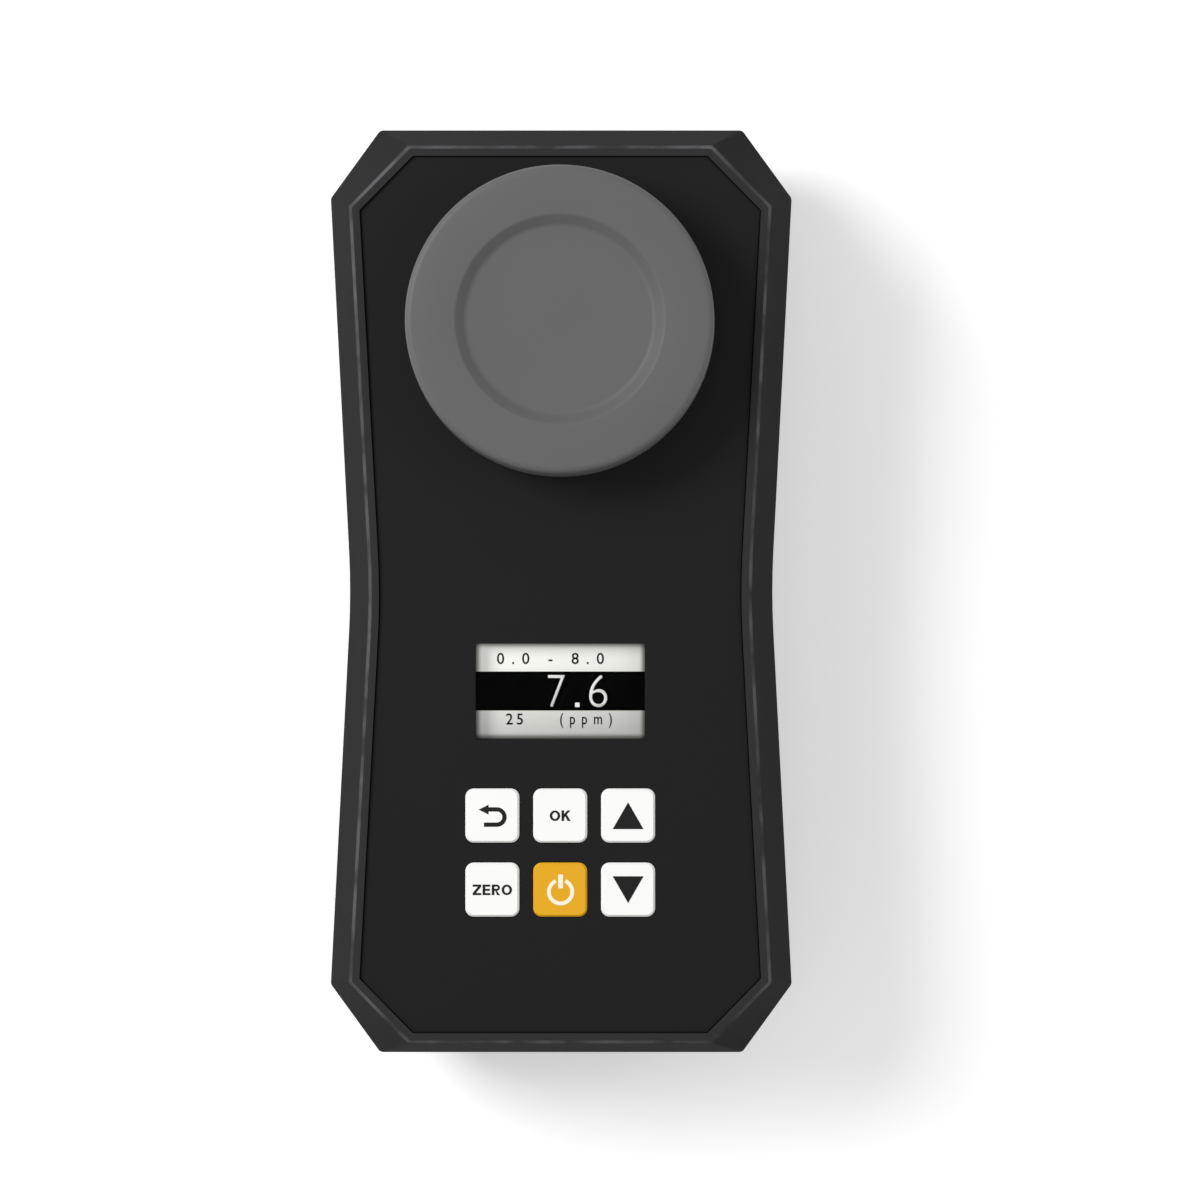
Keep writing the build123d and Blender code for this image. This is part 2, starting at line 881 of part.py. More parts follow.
def main_board():
    board = Polyline(
        (board_half_width, board_bottom_y),
        (board_half_width, bridge_bottom_y),
        (arm_outer_x, bridge_bottom_y),
        (arm_outer_x, arm_top_y),
        (arm_inner_x, arm_top_y),
        (arm_inner_x, bridge_top_y),
        (0, bridge_top_y),
        (0, board_bottom_y),
        close=True,
    )
    half = make_face(board)
    outline = half + mirror(half, Plane.YZ)
    plate = Pos(0, 0, board_under_z) * extrude(outline, board_thickness)
    return plate - [clearance(m25, board_under_z, board_top_z, at) for at in board_screw_places()]


def board_screws():
    places = board_screw_places()
    return [screw(m25, board_under_z, board_screw_length, at) for at in places]


def under_board(wide, long, tall, at):
    return slab(wide, long, board_under_z - tall, board_under_z, at)


def board_connectors():
    terminals = [under_board(terminal_size, terminal_size, terminal_height, at) for at in terminal_places()]
    low = (0.0, board_bottom_y + header_end_inset)
    headers = [under_board(header_long, header_wide, header_height, low)]
    for at in mirrored_places([(arm_middle_x, arm_header_y)]):
        headers.append(under_board(header_wide, header_long, header_height, at))
    return terminals + headers


def board_capacitors():
    places = mirrored_places([(capacitor_x, window_y - gap) for gap in capacitor_gaps])
    return [under_board(capacitor_size, capacitor_size, capacitor_height, at) for at in places]


# Display

def display_window():
    wide = window_width + 2 * lens_margin
    long = window_length + 2 * lens_margin
    return slab(wide, long, lens_top_z - lens_thickness, lens_top_z, (0.0, window_y))


def lcd_glass():
    return slab(glass_width, glass_length, glass_top_z - glass_thickness, glass_top_z, (0.0, window_y))


def backlight():
    return slab(
        glass_width - 2 * light_step,
        glass_length - 2 * light_step,
        light_base_z,
        light_base_z + light_height,
        (0.0, window_y),
    )


def lcd_frame():
    """The frame that carries the glass on a step, over the light."""
    at = (0.0, window_y)
    grow = 2 * display_frame_wall
    top = glass_top_z + display_frame_lip
    seat = light_base_z + light_height
    frame = slab(glass_width + grow, glass_length + grow, board_top_z, top, at)
    frame -= slab(glass_width + 2 * lens_fit, glass_length + 2 * lens_fit, seat, top, at)
    fit = 2 * (lens_fit - light_step)
    return frame - slab(glass_width + fit, glass_length + fit, board_top_z, seat, at)


# Keys

def key(at):
    """A key cap with a flange that holds it under the face and a stem that presses the switch."""
    cap = slab(key_size, key_size, key_flange_z, key_top_z, at, key_corner)
    cap = chamfer(cap.edges().group_by(Axis.Z)[-1], key_edge_chamfer)
    cap += slab(key_flange, key_flange, key_flange_z, key_flange_z + key_flange_height, at)
    return cap + slab(key_stem_size, key_stem_size, key_stem_z, key_flange_z, at)


def switch_floor_z():
    """The floor of the switch well: the pressed stem stops just above the snap plate."""
    return key_stem_z - key_travel - snap_gap - snap_rise - snap_thickness


def key_switches():
    top = board_top_z + switch_height
    bore = key_stem_size + 2 * switch_bore_gap
    housings = []
    for _, at in key_places():
        body = slab(switch_size, switch_size, board_top_z, top, at)
        housings.append(body - slab(bore, bore, switch_floor_z(), top, at))
    return housings


def key_snaps():
    """The bent metal plate at the bottom of each switch well."""
    low = snap_thickness / 2
    half = snap_length / 2
    bend = Polyline((-half, low), (-half / 2, low + snap_rise), (half / 2, low + snap_rise), (half, low))
    plate = extrude(Plane.XZ * trace(bend, snap_thickness), snap_width / 2, both=True)
    return [Pos(at[0], at[1], switch_floor_z()) * plate for _, at in key_places()]


# Measuring chamber

def chamber_collar():
    """The collar bonded into the face from below, with the ledge that the cell hangs on."""
    profile = [
        (cell_bore, ledge_under_z),
        (collar_radius + collar_flange, ledge_under_z),
        (collar_radius + collar_flange, face_under_z),
        (collar_radius, face_under_z),
        (collar_radius, collar_top_z),
        (collar_bore, collar_top_z),
        (collar_bore, ledge_z),
        (cell_seal_outer, ledge_z),
        (cell_seal_outer, ledge_z - cell_seal_height),
        (cell_seal_inner, ledge_z - cell_seal_height),
        (cell_seal_inner, ledge_z),
        (cell_bore, ledge_z),
    ]
    block_hole_top = block_flange_z + block_screw_length + thread_fit
    retainer_hole_z = retainer_top_z - retainer_screw_length - thread_fit
    holes = [pilot(m25, ledge_under_z, block_hole_top, at) for at in block_screw_places()]
    holes += [pilot(m2, retainer_hole_z, ledge_z, at) for at in retainer_screw_places()]
    return turned(profile, (0.0, chamber_y)) - holes


def chamber_block():
    """The dark block round the cell, with its light paths, hung from the collar by a flange."""
    at = (0.0, chamber_y)
    body = slab(block_width, block_width, block_bottom_z, ledge_under_z, at)
    body = chamfer(body.edges().filter_by(Axis.Z), block_chamfer)
    body += disc(block_flange_radius, block_flange_z, ledge_under_z, at)
    body += slab(2 * snout_reach, snout_width, snout_bottom_z, snout_top_z, at)
    body -= disc(cell_bore, cell_bottom_z - cell_fit, ledge_under_z, at)
    detector_seat_x = snout_reach - detector_thickness
    channel_length = filter_face_x + detector_seat_x
    channel_x = (detector_seat_x - filter_face_x) / 2
    for z in path_z:
        body -= Pos(channel_x, chamber_y, z) * Box(channel_length, channel_width, channel_height)
        body -= rod(pocket_radius, -snout_reach, -filter_face_x, z)
        body -= Pos(snout_reach, chamber_y, z) * detector_shape(optics_fit)
    return body - [clearance(m25, block_flange_z, ledge_under_z, place) for place in block_screw_places()]


def chamber_screws():
    places = block_screw_places()
    return [screw(m25, block_flange_z, block_screw_length, at) for at in places]


def cuvette():
    inner = cell_radius - cell_wall
    floor = cell_bottom_z + cell_floor
    profile = [
        (0, cell_bottom_z),
        (cell_radius, cell_bottom_z),
        (cell_radius, ledge_z),
        (cell_flange_radius, ledge_z),
        (cell_flange_radius, cell_flange_top_z),
        (inner, cell_flange_top_z),
        (inner, floor),
        (0, floor),
    ]
    return turned(profile, (0.0, chamber_y))


def cuvette_seal():
    low = ledge_z - cell_seal_height
    return ring(cell_seal_outer - seal_fit, cell_seal_inner + seal_fit, low, ledge_z, (0.0, chamber_y))


def cell_retainer():
    """The ring that holds the cell down, with a funnel towards the well."""
    step_z = cell_flange_top_z + thread_fit
    profile = [
        (retainer_inner, ledge_z),
        (retainer_radius, ledge_z),
        (retainer_radius, retainer_top_z),
        (retainer_bore + funnel_width, retainer_top_z),
        (retainer_bore, retainer_top_z - funnel_depth),
        (retainer_bore, step_z),
        (retainer_inner, step_z),
    ]
    body = turned(profile, (0.0, chamber_y))
    return body - [clearance(m2, ledge_z, retainer_top_z, at) for at in retainer_screw_places()]


def retainer_screws():
    reach = retainer_screw_length
    places = retainer_screw_places()
    return [screw(m2, retainer_top_z, reach, at, upwards=False) for at in places]


def detector_shape(fit):
    """A flat rectangular detector with its back in the origin plane, or its pocket where a fit is given."""
    deep = detector_thickness
    return Pos(-deep / 2, 0, 0) * Box(deep, detector_width + 2 * fit, detector_height + 2 * fit)


def light_filter(z):
    radius = pocket_radius - optics_fit
    return rod(radius, -filter_face_x - filter_thickness, -filter_face_x, z)


def light_source(z):
    """A flat-topped lamp in its pocket, with its back on the board."""
    return rod(source_radius, -snout_reach, -snout_reach + source_length, z)


def photodiode(z):
    """A flat detector in its pocket, with its back on the board."""
    return Pos(snout_reach, chamber_y, z) * detector_shape(0.0)


def side_board(side):
    """A small upright board outside the snouts, under an arm of the main board."""
    x = side * (snout_reach + side_board_thickness / 2)
    return slab(side_board_thickness, snout_width, snout_bottom_z, board_under_z, (x, chamber_y))


# Light cap

def light_cap():
    dish_z = height - dish_depth
    profile = [
        (0, cap_plate_z),
        (cap_skirt_inner, cap_plate_z),
        (cap_skirt_inner, cap_foot_z),
        (cap_radius, cap_foot_z),
        (cap_top_radius, height - cap_edge_rise),
        (cap_top_radius - cap_edge_step, height - cap_edge_step),
        (cap_top_radius - cap_edge_rise, height),
        (dish_radius, height),
        (dish_radius - dish_slope, dish_z),
        (0, dish_z),
    ]
    body = turned(profile)
    rib_low = cap_foot_z + cap_rib_lead
    rib_depth = cap_skirt_inner - cap_rib_bore + rib
    for i in range(cap_rib_count):
        bar = slab(rib_depth, cap_rib_width, rib_low, cap_plate_z, (cap_rib_bore + rib_depth / 2, 0.0))
        body += Rot(0, 0, 360.0 * i / cap_rib_count) * bar
    body = Pos(0, chamber_y) * body
    pilot_top = insert_under_z + cap_screw_length + hole_fit
    return body - [pilot(m2, cap_plate_z, pilot_top, at) for at in cap_screw_places()]


def cap_screw_places():
    return around(cap_screws_count, cap_screw_circle, 90.0)


def cap_insert():
    """The black plate inside the cap, with a hollow plug that closes the well against light."""
    profile = [
        (0, plug_bottom_z),
        (plug_radius, plug_bottom_z),
        (plug_radius, insert_under_z),
        (insert_radius, insert_under_z),
        (insert_radius, cap_plate_z),
        (plug_radius - plug_wall, cap_plate_z),
        (plug_radius - plug_wall, plug_bottom_z + plug_wall),
        (0, plug_bottom_z + plug_wall),
    ]
    body = turned(profile, (0.0, chamber_y))
    return body - [clearance(m2, insert_under_z, cap_plate_z, at) for at in cap_screw_places()]


def cap_seal():
    return ring(insert_radius, cap_seal_inner, collar_top_z + cap_seal_gap, insert_under_z, (0.0, chamber_y))


def cap_screws():
    return [screw(m2, insert_under_z, cap_screw_length, at) for at in cap_screw_places()]


def nodes():
    """Every piece by name."""
    named = {
        "front_shell": front_shell(),
        "back_shell": back_shell(),
        "housing_gasket": housing_gasket(),
        "housing_screws": housing_screws(),
        "front_panel": front_panel(),
        "display_window": display_window(),
        "battery_cover": battery_cover(),
        "battery_gasket": cover_seal(cover_seal_height, 0.0),
        "battery_cover_screws": cover_screws(),
        "battery_plates": battery_plates(),
        "battery_springs": battery_springs(),
        "lead_red": lead("red"),
        "lead_black": lead("black"),
        "main_board": main_board(),
        "board_screws": board_screws(),
        "processor_chip": under_board(chip_size, chip_size, chip_height, (0.0, chip_y)),
        "radio_module": under_board(radio_width, radio_length, radio_height, (0.0, radio_y)),
        "board_capacitors": board_capacitors(),
        "board_connectors": board_connectors(),
        "lcd_frame": lcd_frame(),
        "lcd_glass": lcd_glass(),
        "backlight": backlight(),
        "key_switches": key_switches(),
        "key_snaps": key_snaps(),
        "chamber_collar": chamber_collar(),
        "chamber_block": chamber_block(),
        "chamber_screws": chamber_screws(),
        "cuvette": cuvette(),
        "cuvette_seal": cuvette_seal(),
        "cell_retainer": cell_retainer(),
        "retainer_screws": retainer_screws(),
        "light_board": side_board(-1),
        "detector_board": side_board(1),
        "light_cap": light_cap(),
        "cap_insert": cap_insert(),
        "cap_seal": cap_seal(),
        "cap_screws": cap_screws(),
    }
    for number, at in enumerate(foot_places(), 1):
        named[f"foot_{number}"] = disc(foot_radius, 0, back_z, at)
    for index in range(battery_count):
        named[f"battery_{index + 1}"] = battery(index)
    for colour, z in zip(path_colours, path_z):
        named[f"light_source_{colour}"] = light_source(z)
        named[f"light_filter_{colour}"] = light_filter(z)
        named[f"photodiode_{colour}"] = photodiode(z)
    for name, at in key_places():
        named[f"key_{name}"] = key(at)
    return named


def main():
    os.makedirs("parts", exist_ok=True)
    for name, shape in nodes().items():
        if isinstance(shape, list):
            shape = Part() + shape
        export_step(shape, f"parts/{name}.step")


main()
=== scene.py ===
import json
import math

import bmesh
import bpy
from bpy.props import FloatProperty, FloatVectorProperty, PointerProperty
from mathutils import Matrix, Vector


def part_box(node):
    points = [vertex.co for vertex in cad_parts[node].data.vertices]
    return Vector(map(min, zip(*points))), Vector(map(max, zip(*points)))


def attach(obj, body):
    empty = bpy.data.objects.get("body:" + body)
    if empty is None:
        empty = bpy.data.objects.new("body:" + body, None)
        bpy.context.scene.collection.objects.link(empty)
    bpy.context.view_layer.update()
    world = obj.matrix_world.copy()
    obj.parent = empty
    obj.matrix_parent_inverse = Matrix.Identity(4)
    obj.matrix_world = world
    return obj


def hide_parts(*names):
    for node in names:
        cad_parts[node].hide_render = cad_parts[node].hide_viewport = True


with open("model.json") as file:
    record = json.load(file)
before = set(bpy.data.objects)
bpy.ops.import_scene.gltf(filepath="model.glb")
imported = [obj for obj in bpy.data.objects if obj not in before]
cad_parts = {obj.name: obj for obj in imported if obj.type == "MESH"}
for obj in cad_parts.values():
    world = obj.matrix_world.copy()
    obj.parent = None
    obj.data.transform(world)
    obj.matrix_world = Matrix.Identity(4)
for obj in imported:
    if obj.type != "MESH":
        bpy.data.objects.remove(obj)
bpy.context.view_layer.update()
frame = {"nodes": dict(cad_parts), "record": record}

bl_info = {
    "name": "Handheld Water Photometer",
    "version": (1, 0, 0),
    "blender": (4, 5, 0),
    "location": "View3D > Sidebar > Photometer",
    "description": "Dresses the packed model of a handheld water photometer and lights it",
    "category": "Object",
}

mm = 0.001

# The photograph, as a camera that looks straight down on the face
photo_width = 1200
sensor = 36.0
optical_axis = (594.0, 486.0)
face_centre = (560.2, 594.55)
rim_level = 44.0
rim_scale = 0.1767
camera_height = 650.0


def linear(hex_text):
    """An sRGB hex colour as the linear values that shaders take."""
    shares = [int(hex_text[i:i + 2], 16) / 255 for i in (0, 2, 4)]
    return tuple(c / 12.92 if c <= 0.04045 else ((c + 0.055) / 1.055) ** 2.4 for c in shares)


def size_property(name, description, millimetres):
    return FloatProperty(
        name=name, description=description, default=millimetres * mm, min=0.0, unit="LENGTH", precision=5
    )


def colour_property(name, description, hex_text):
    return FloatVectorProperty(
        name=name,
        description=description,
        default=linear(hex_text),
        size=3,
        min=0.0,
        max=1.0,
        subtype="COLOR",
    )


class PhotometerSizes(bpy.types.PropertyGroup):
    """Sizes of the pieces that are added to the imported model."""

    cap_wall: size_property("Cap wall", "Thickness of the light cap's skirt", 2.1)
    cap_plate: size_property("Cap plate", "Thickness of the light cap's top", 4.0)
    cap_draft: size_property("Cap draft", "How much narrower the cap is at its top", 0.5)
    cap_edge: size_property("Cap edge", "Radius of the cap's top edge", 1.2)
    dish_radius: size_property("Dish radius", "Radius of the dished top of the cap", 18.2)
    dish_slope: size_property("Dish slope", "Width of the sloping wall of the dish", 1.8)
    dish_depth: size_property("Dish depth", "Depth of the dish", 1.6)
    rib_bore: size_property("Rib bore", "Radius inside the cap's guiding ribs", 24.3)
    rib_width: size_property("Rib width", "Width of each guiding rib", 2.0)
    rib_lead: size_property("Rib lead", "Distance from the cap's foot to the ribs", 1.0)
    ink: size_property("Ink", "Thickness of the printed legends", 0.03)
    letter_height: size_property("Letter height", "Height of the capitals on the keys", 1.87)
    figure_height: size_property("Figure height", "Height of the reading's figures", 5.7)
    row_height: size_property("Row height", "Height of the small rows on the display", 2.0)
    lens_lap: size_property("Lens lap", "How far the lens reaches under the face", 1.5)
    foot_edge: size_property("Foot edge", "Radius of the rubber feet's lower edge", 0.3)


class PhotometerColours(bpy.types.PropertyGroup):
    """Colours of the finishes."""

    housing: colour_property("Housing", "Moulded housing", "1f1f20")
    # Painted highlight: a paler colour on the ridge round the face, standing in for its sheen
    ridge: colour_property("Ridge", "Painted highlight on the edge round the face", "5c5c5e")
    panel: colour_property("Panel", "Face film", "181818")
    cap: colour_property("Cap", "Light cap", "5c5c5c")
    dark: colour_property("Inner plastic", "Light-tight inner parts", "131313")
    key: colour_property("Key", "Key caps", "fdfdfb")
    power_key: colour_property("Power key", "Key cap of the power key", "e9ad24")
    legend: colour_property("Legend", "Dark legends", "151516")
    pale_legend: colour_property("Pale legend", "Legend of the power key", "fff6df")
    display: colour_property("Display", "Ground of the display", "e6e7e1")
    figures: colour_property("Figures", "Figures in the dark row of the display", "dcdcda")
    floor: colour_property("Floor", "Floor under the meter", "f2f2f2")


# Finishes

def add(tree, kind, settings=None, links=None):
    """Adds a node with its settings and the links that feed it."""
    node = tree.nodes.new(kind)
    for name, value in (settings or {}).items():
        if name in node.inputs:
            node.inputs[name].default_value = value
        else:
            setattr(node, name, value)
    for name, (source, output) in (links or {}).items():
        tree.links.new(source.outputs[output], node.inputs[name])
    return node


def finish(name, colour, roughness, ior=1.5, shine=0.5, **more):
    """A new material with one Principled shader, its node tree and the shader."""
    material = bpy.data.materials.new(name)
    material.use_nodes = True
    tree = material.node_tree
    tree.nodes.clear()
    settings = {
        "Base Color": (*colour, 1.0), "Roughness": roughness, "IOR": ior, "Specular IOR Level": shine
    }
    settings.update(more)
    shader = add(tree, "ShaderNodeBsdfPrincipled", settings)
    add(tree, "ShaderNodeOutputMaterial", None, {"Surface": (shader, "BSDF")})
    return material, tree, shader


def grain(tree, shader, size, depth, roughness, patch=18.0):
    """A fine surface grain of one size in millimetres, and roughness that drifts over larger patches."""
    place = add(tree, "ShaderNodeTexCoord")
    noise = add(
        tree, "ShaderNodeTexNoise", {"Scale": 1 / (size * mm), "Detail": 2.0}, {"Vector": (place, "Object")}
    )
    bump = add(tree, "ShaderNodeBump", {"Strength": 1.0, "Distance": depth * mm}, {"Height": (noise, "Fac")})
    tree.links.new(bump.outputs["Normal"], shader.inputs["Normal"])
    patches = add(
        tree, "ShaderNodeTexNoise", {"Scale": 1 / (patch * mm), "Detail": 3.0}, {"Vector": (place, "Object")}
    )
    spread = {"To Min": roughness[0], "To Max": roughness[1]}
    drift = add(tree, "ShaderNodeMapRange", spread, {"Value": (patches, "Fac")})
    tree.links.new(drift.outputs["Result"], shader.inputs["Roughness"])
    return place, patches


def tinted(tree, shader, fac, colour, share):
    """Lets the colour drift a little between two near shades."""
    low = tuple(c * (1 - share) for c in colour)
    high = tuple(min(1.0, c * (1 + share)) for c in colour)
    ramp = add(tree, "ShaderNodeMix", {"data_type": "RGBA"})
    ramp.inputs[6].default_value = (*low, 1.0)
    ramp.inputs[7].default_value = (*high, 1.0)
    tree.links.new(fac, ramp.inputs[0])
    tree.links.new(ramp.outputs[2], shader.inputs["Base Color"])


def moulded(name, colour, size, depth, roughness, share=0.06, **more):
    """A moulded plastic or rubber with its mould's grain."""
    material, tree, shader = finish(name, colour, sum(roughness) / 2, **more)
    _, patches = grain(tree, shader, size, depth, roughness)
    tinted(tree, shader, patches.outputs["Fac"], colour, share)
    return material


def housing_plastic(colours):
    """ABS, injection moulded in a spark-eroded mould: its grain keeps the walls nearly free of shine, and the
    narrow ridge round the face and the flat rim inside it get a painted highlight, a paler colour in place of
    sheen."""
    name = "ABS, moulded, spark-eroded grain"
    material = moulded(name, colours.housing, 0.4, 0.02, (0.85, 0.95), ior=1.53, shine=0.06)
    tree = material.node_tree
    shader = next(node for node in tree.nodes if node.type == "BSDF_PRINCIPLED")
    ground = shader.inputs["Base Color"].links[0].from_socket
    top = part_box("front_shell")[1].z
    place = add(tree, "ShaderNodeTexCoord")
    height = add(tree, "ShaderNodeSeparateXYZ", None, {"Vector": (place, "Object")})
    band = {"From Min": top - 0.6 * mm, "From Max": top - 0.4 * mm}
    near_top = add(tree, "ShaderNodeMapRange", band, {"Value": (height, "Z")})
    slope = add(tree, "ShaderNodeSeparateXYZ", None, {"Vector": (place, "Normal")})
    # The ridge's slanted face, whose normal leans about half way
    tilted = add(tree, "ShaderNodeMath", {"operation": "COMPARE"}, {0: (slope, "Z")})
    tilted.inputs[1].default_value = 0.7
    tilted.inputs[2].default_value = 0.2
    # Patches of 6 mm where the ridge's painted highlight is stronger or weaker
    patches = add(
        tree, "ShaderNodeTexNoise", {"Scale": 1 / (6 * mm), "Detail": 2.0}, {"Vector": (place, "Object")}
    )
    highlight_patches = add(
        tree,
        "ShaderNodeMapRange",
        {"From Min": 0.35, "From Max": 0.65, "To Min": 0.3, "To Max": 1.0},
        {"Value": (patches, "Fac")},
    )
    edge = add(tree, "ShaderNodeMath", {"operation": "MULTIPLY"}, {0: (tilted, "Value"), 1: (highlight_patches, "Result")})
    # The flat rim inside the ridge gets a weaker painted highlight all over
    rim = add(tree, "ShaderNodeMath", {"operation": "MAXIMUM"}, {0: (edge, "Value")})
    rim.inputs[1].default_value = 0.2
    share = add(
        tree, "ShaderNodeMath", {"operation": "MULTIPLY"}, {0: (near_top, "Result"), 1: (rim, "Value")}
    )
    # Mixes the painted highlight colour into the ridge and the rim
    both = add(tree, "ShaderNodeMix", {"data_type": "RGBA"})
    tree.links.new(share.outputs["Value"], both.inputs[0])
    tree.links.new(ground, both.inputs[6])
    both.inputs[7].default_value = (*colours.ridge, 1.0)
    tree.links.new(both.outputs[2], shader.inputs["Base Color"])
    return material


def plated(name, colour, roughness, brush=0.12):
    """A plated metal with fine drawing marks."""
    material, tree, shader = finish(name, colour, roughness, Metallic=1.0)
    place = add(tree, "ShaderNodeTexCoord")
    stretch = add(tree, "ShaderNodeMapping", {"Scale": (1.0, 1.0, 0.08)}, {"Vector": (place, "Object")})
    lines = {"Scale": 1 / (brush * mm), "Detail": 2.0}
    marks = add(tree, "ShaderNodeTexNoise", lines, {"Vector": (stretch, "Vector")})
    spread = {"To Min": roughness - 0.08, "To Max": roughness + 0.1}
    drift = add(tree, "ShaderNodeMapRange", spread, {"Value": (marks, "Fac")})
    tree.links.new(drift.outputs["Result"], shader.inputs["Roughness"])
    return material


def circuit_board():
    """FR4 laminate under green solder mask: copper tracks show as paler lines at a 1.2 mm pitch."""
    ground = linear("0b4a24")
    material, tree, shader = finish("FR4 laminate, solder masked", ground, 0.35)
    place = add(tree, "ShaderNodeTexCoord")
    tracks = add(
        tree,
        "ShaderNodeTexBrick",
        {
            "Scale": 1 / (1.2 * mm),
            "Mortar Size": 0.1,
            "Brick Width": 6.0,
            "Row Height": 1.0,
            "Color1": (*ground, 1.0),
            "Color2": (*ground, 1.0),
            "Mortar": (*linear("1d7a3c"), 1.0),
        },
        {"Vector": (place, "Object")},
    )
    tree.links.new(tracks.outputs["Color"], shader.inputs["Base Color"])
    return material


def clear_acrylic():
    """Cast acrylic, hard coated: clear, with only a faint sheen over the display."""
    material, _, _ = finish("Cast acrylic, hard coated", linear("000000"), 0.08, ior=1.49, Alpha=0.03)
    return material


def cell_glass():
    """Borosilicate glass, fire polished: clear, with bright edges."""
    material, _, _ = finish(
        "Borosilicate glass, fire polished", linear("f6fffb"), 0.02, ior=1.47, **{"Transmission Weight": 1.0}
    )
    return material


def display_glass(colour, lens_lap):
    """Liquid crystal glass under a polariser, lit from behind: a pale green-grey ground with fine dots, with
    painted shade near the window's edges and towards the lower right.
    """
    backlight = {"Emission Strength": 0.5}
    material, tree, shader = finish("Liquid crystal glass, polarised", colour, 0.4, shine=0.0, **backlight)
    place = add(tree, "ShaderNodeTexCoord")
    # Dots of 0.25 mm
    dots = add(
        tree,
        "ShaderNodeTexBrick",
        {
            "Scale": 1 / (0.25 * mm),
            "Mortar Size": 0.08,
            "Brick Width": 1.0,
            "Row Height": 1.0,
            "offset": 0.0,
            "Color1": (*colour, 1.0),
            "Color2": (*colour, 1.0),
            "Mortar": (*[c * 0.92 for c in colour], 1.0),
        },
        {"Vector": (place, "Object")},
    )
    # Painted shade: the ground and its glow darken away from the upper left of the window and close to its
    # edges
    low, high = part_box("display_window")
    middle = (low + high) / 2
    half = (high - low) / 2 - Vector((lens_lap, lens_lap, 0.0))
    centred = add(tree, "ShaderNodeVectorMath", {"operation": "SUBTRACT"}, {0: (place, "Object")})
    centred.inputs[1].default_value = middle
    apart = add(tree, "ShaderNodeSeparateXYZ", None, {"Vector": (centred, "Vector")})
    slant = add(tree, "ShaderNodeMath", {"operation": "MULTIPLY_ADD"}, {0: (apart, "X"), 2: (apart, "Y")})
    slant.inputs[1].default_value = -0.2
    painted_slant_shade = add(
        tree,
        "ShaderNodeMapRange",
        {"From Min": -1.1 * half.y, "From Max": 1.1 * half.y, "To Min": 0.51, "To Max": 1.0},
        {"Value": (slant, "Value")},
    )
    light = painted_slant_shade
    for axis, reach in (("X", half.x), ("Y", half.y)):
        size = add(tree, "ShaderNodeMath", {"operation": "ABSOLUTE"}, {0: (apart, axis)})
        spread = {"From Min": reach - 1.1 * mm, "From Max": reach, "To Min": 1.0, "To Max": 0.2}
        spread["interpolation_type"] = "SMOOTHSTEP"
        share = add(tree, "ShaderNodeMapRange", spread, {"Value": (size, "Value")})
        light = add(tree, "ShaderNodeMath", {"operation": "MULTIPLY"}, {0: (light, 0), 1: (share, "Result")})
    # The painted shade scales both the ground colour and its glow
    lit = add(
        tree,
        "ShaderNodeVectorMath",
        {"operation": "SCALE"},
        {"Vector": (dots, "Color"), "Scale": (light, "Value")},
    )
    for socket in ("Base Color", "Emission Color"):
        tree.links.new(lit.outputs["Vector"], shader.inputs[socket])
    return material


def printed(name, colour, shine=0.15, **more):
    """Screen-printed ink: matt, a little uneven."""
    material, tree, shader = finish(name, colour, 0.6, shine=shine, **more)
    grain(tree, shader, 0.3, 0.002, (0.5, 0.7))
    return material


def cast_epoxy(name, hex_text):
    """Coloured epoxy, cast: a glossy, partly clear lamp body."""
    material, _, _ = finish(name, linear(hex_text), 0.12, ior=1.52, **{"Transmission Weight": 0.4})
    return material


def sleeved(name, hex_text):
    """Extruded PVC sleeve: smooth, with a soft shine."""
    material, tree, shader = finish(name, linear(hex_text), 0.35)
    grain(tree, shader, 0.8, 0.004, (0.3, 0.42), patch=6.0)
    return material


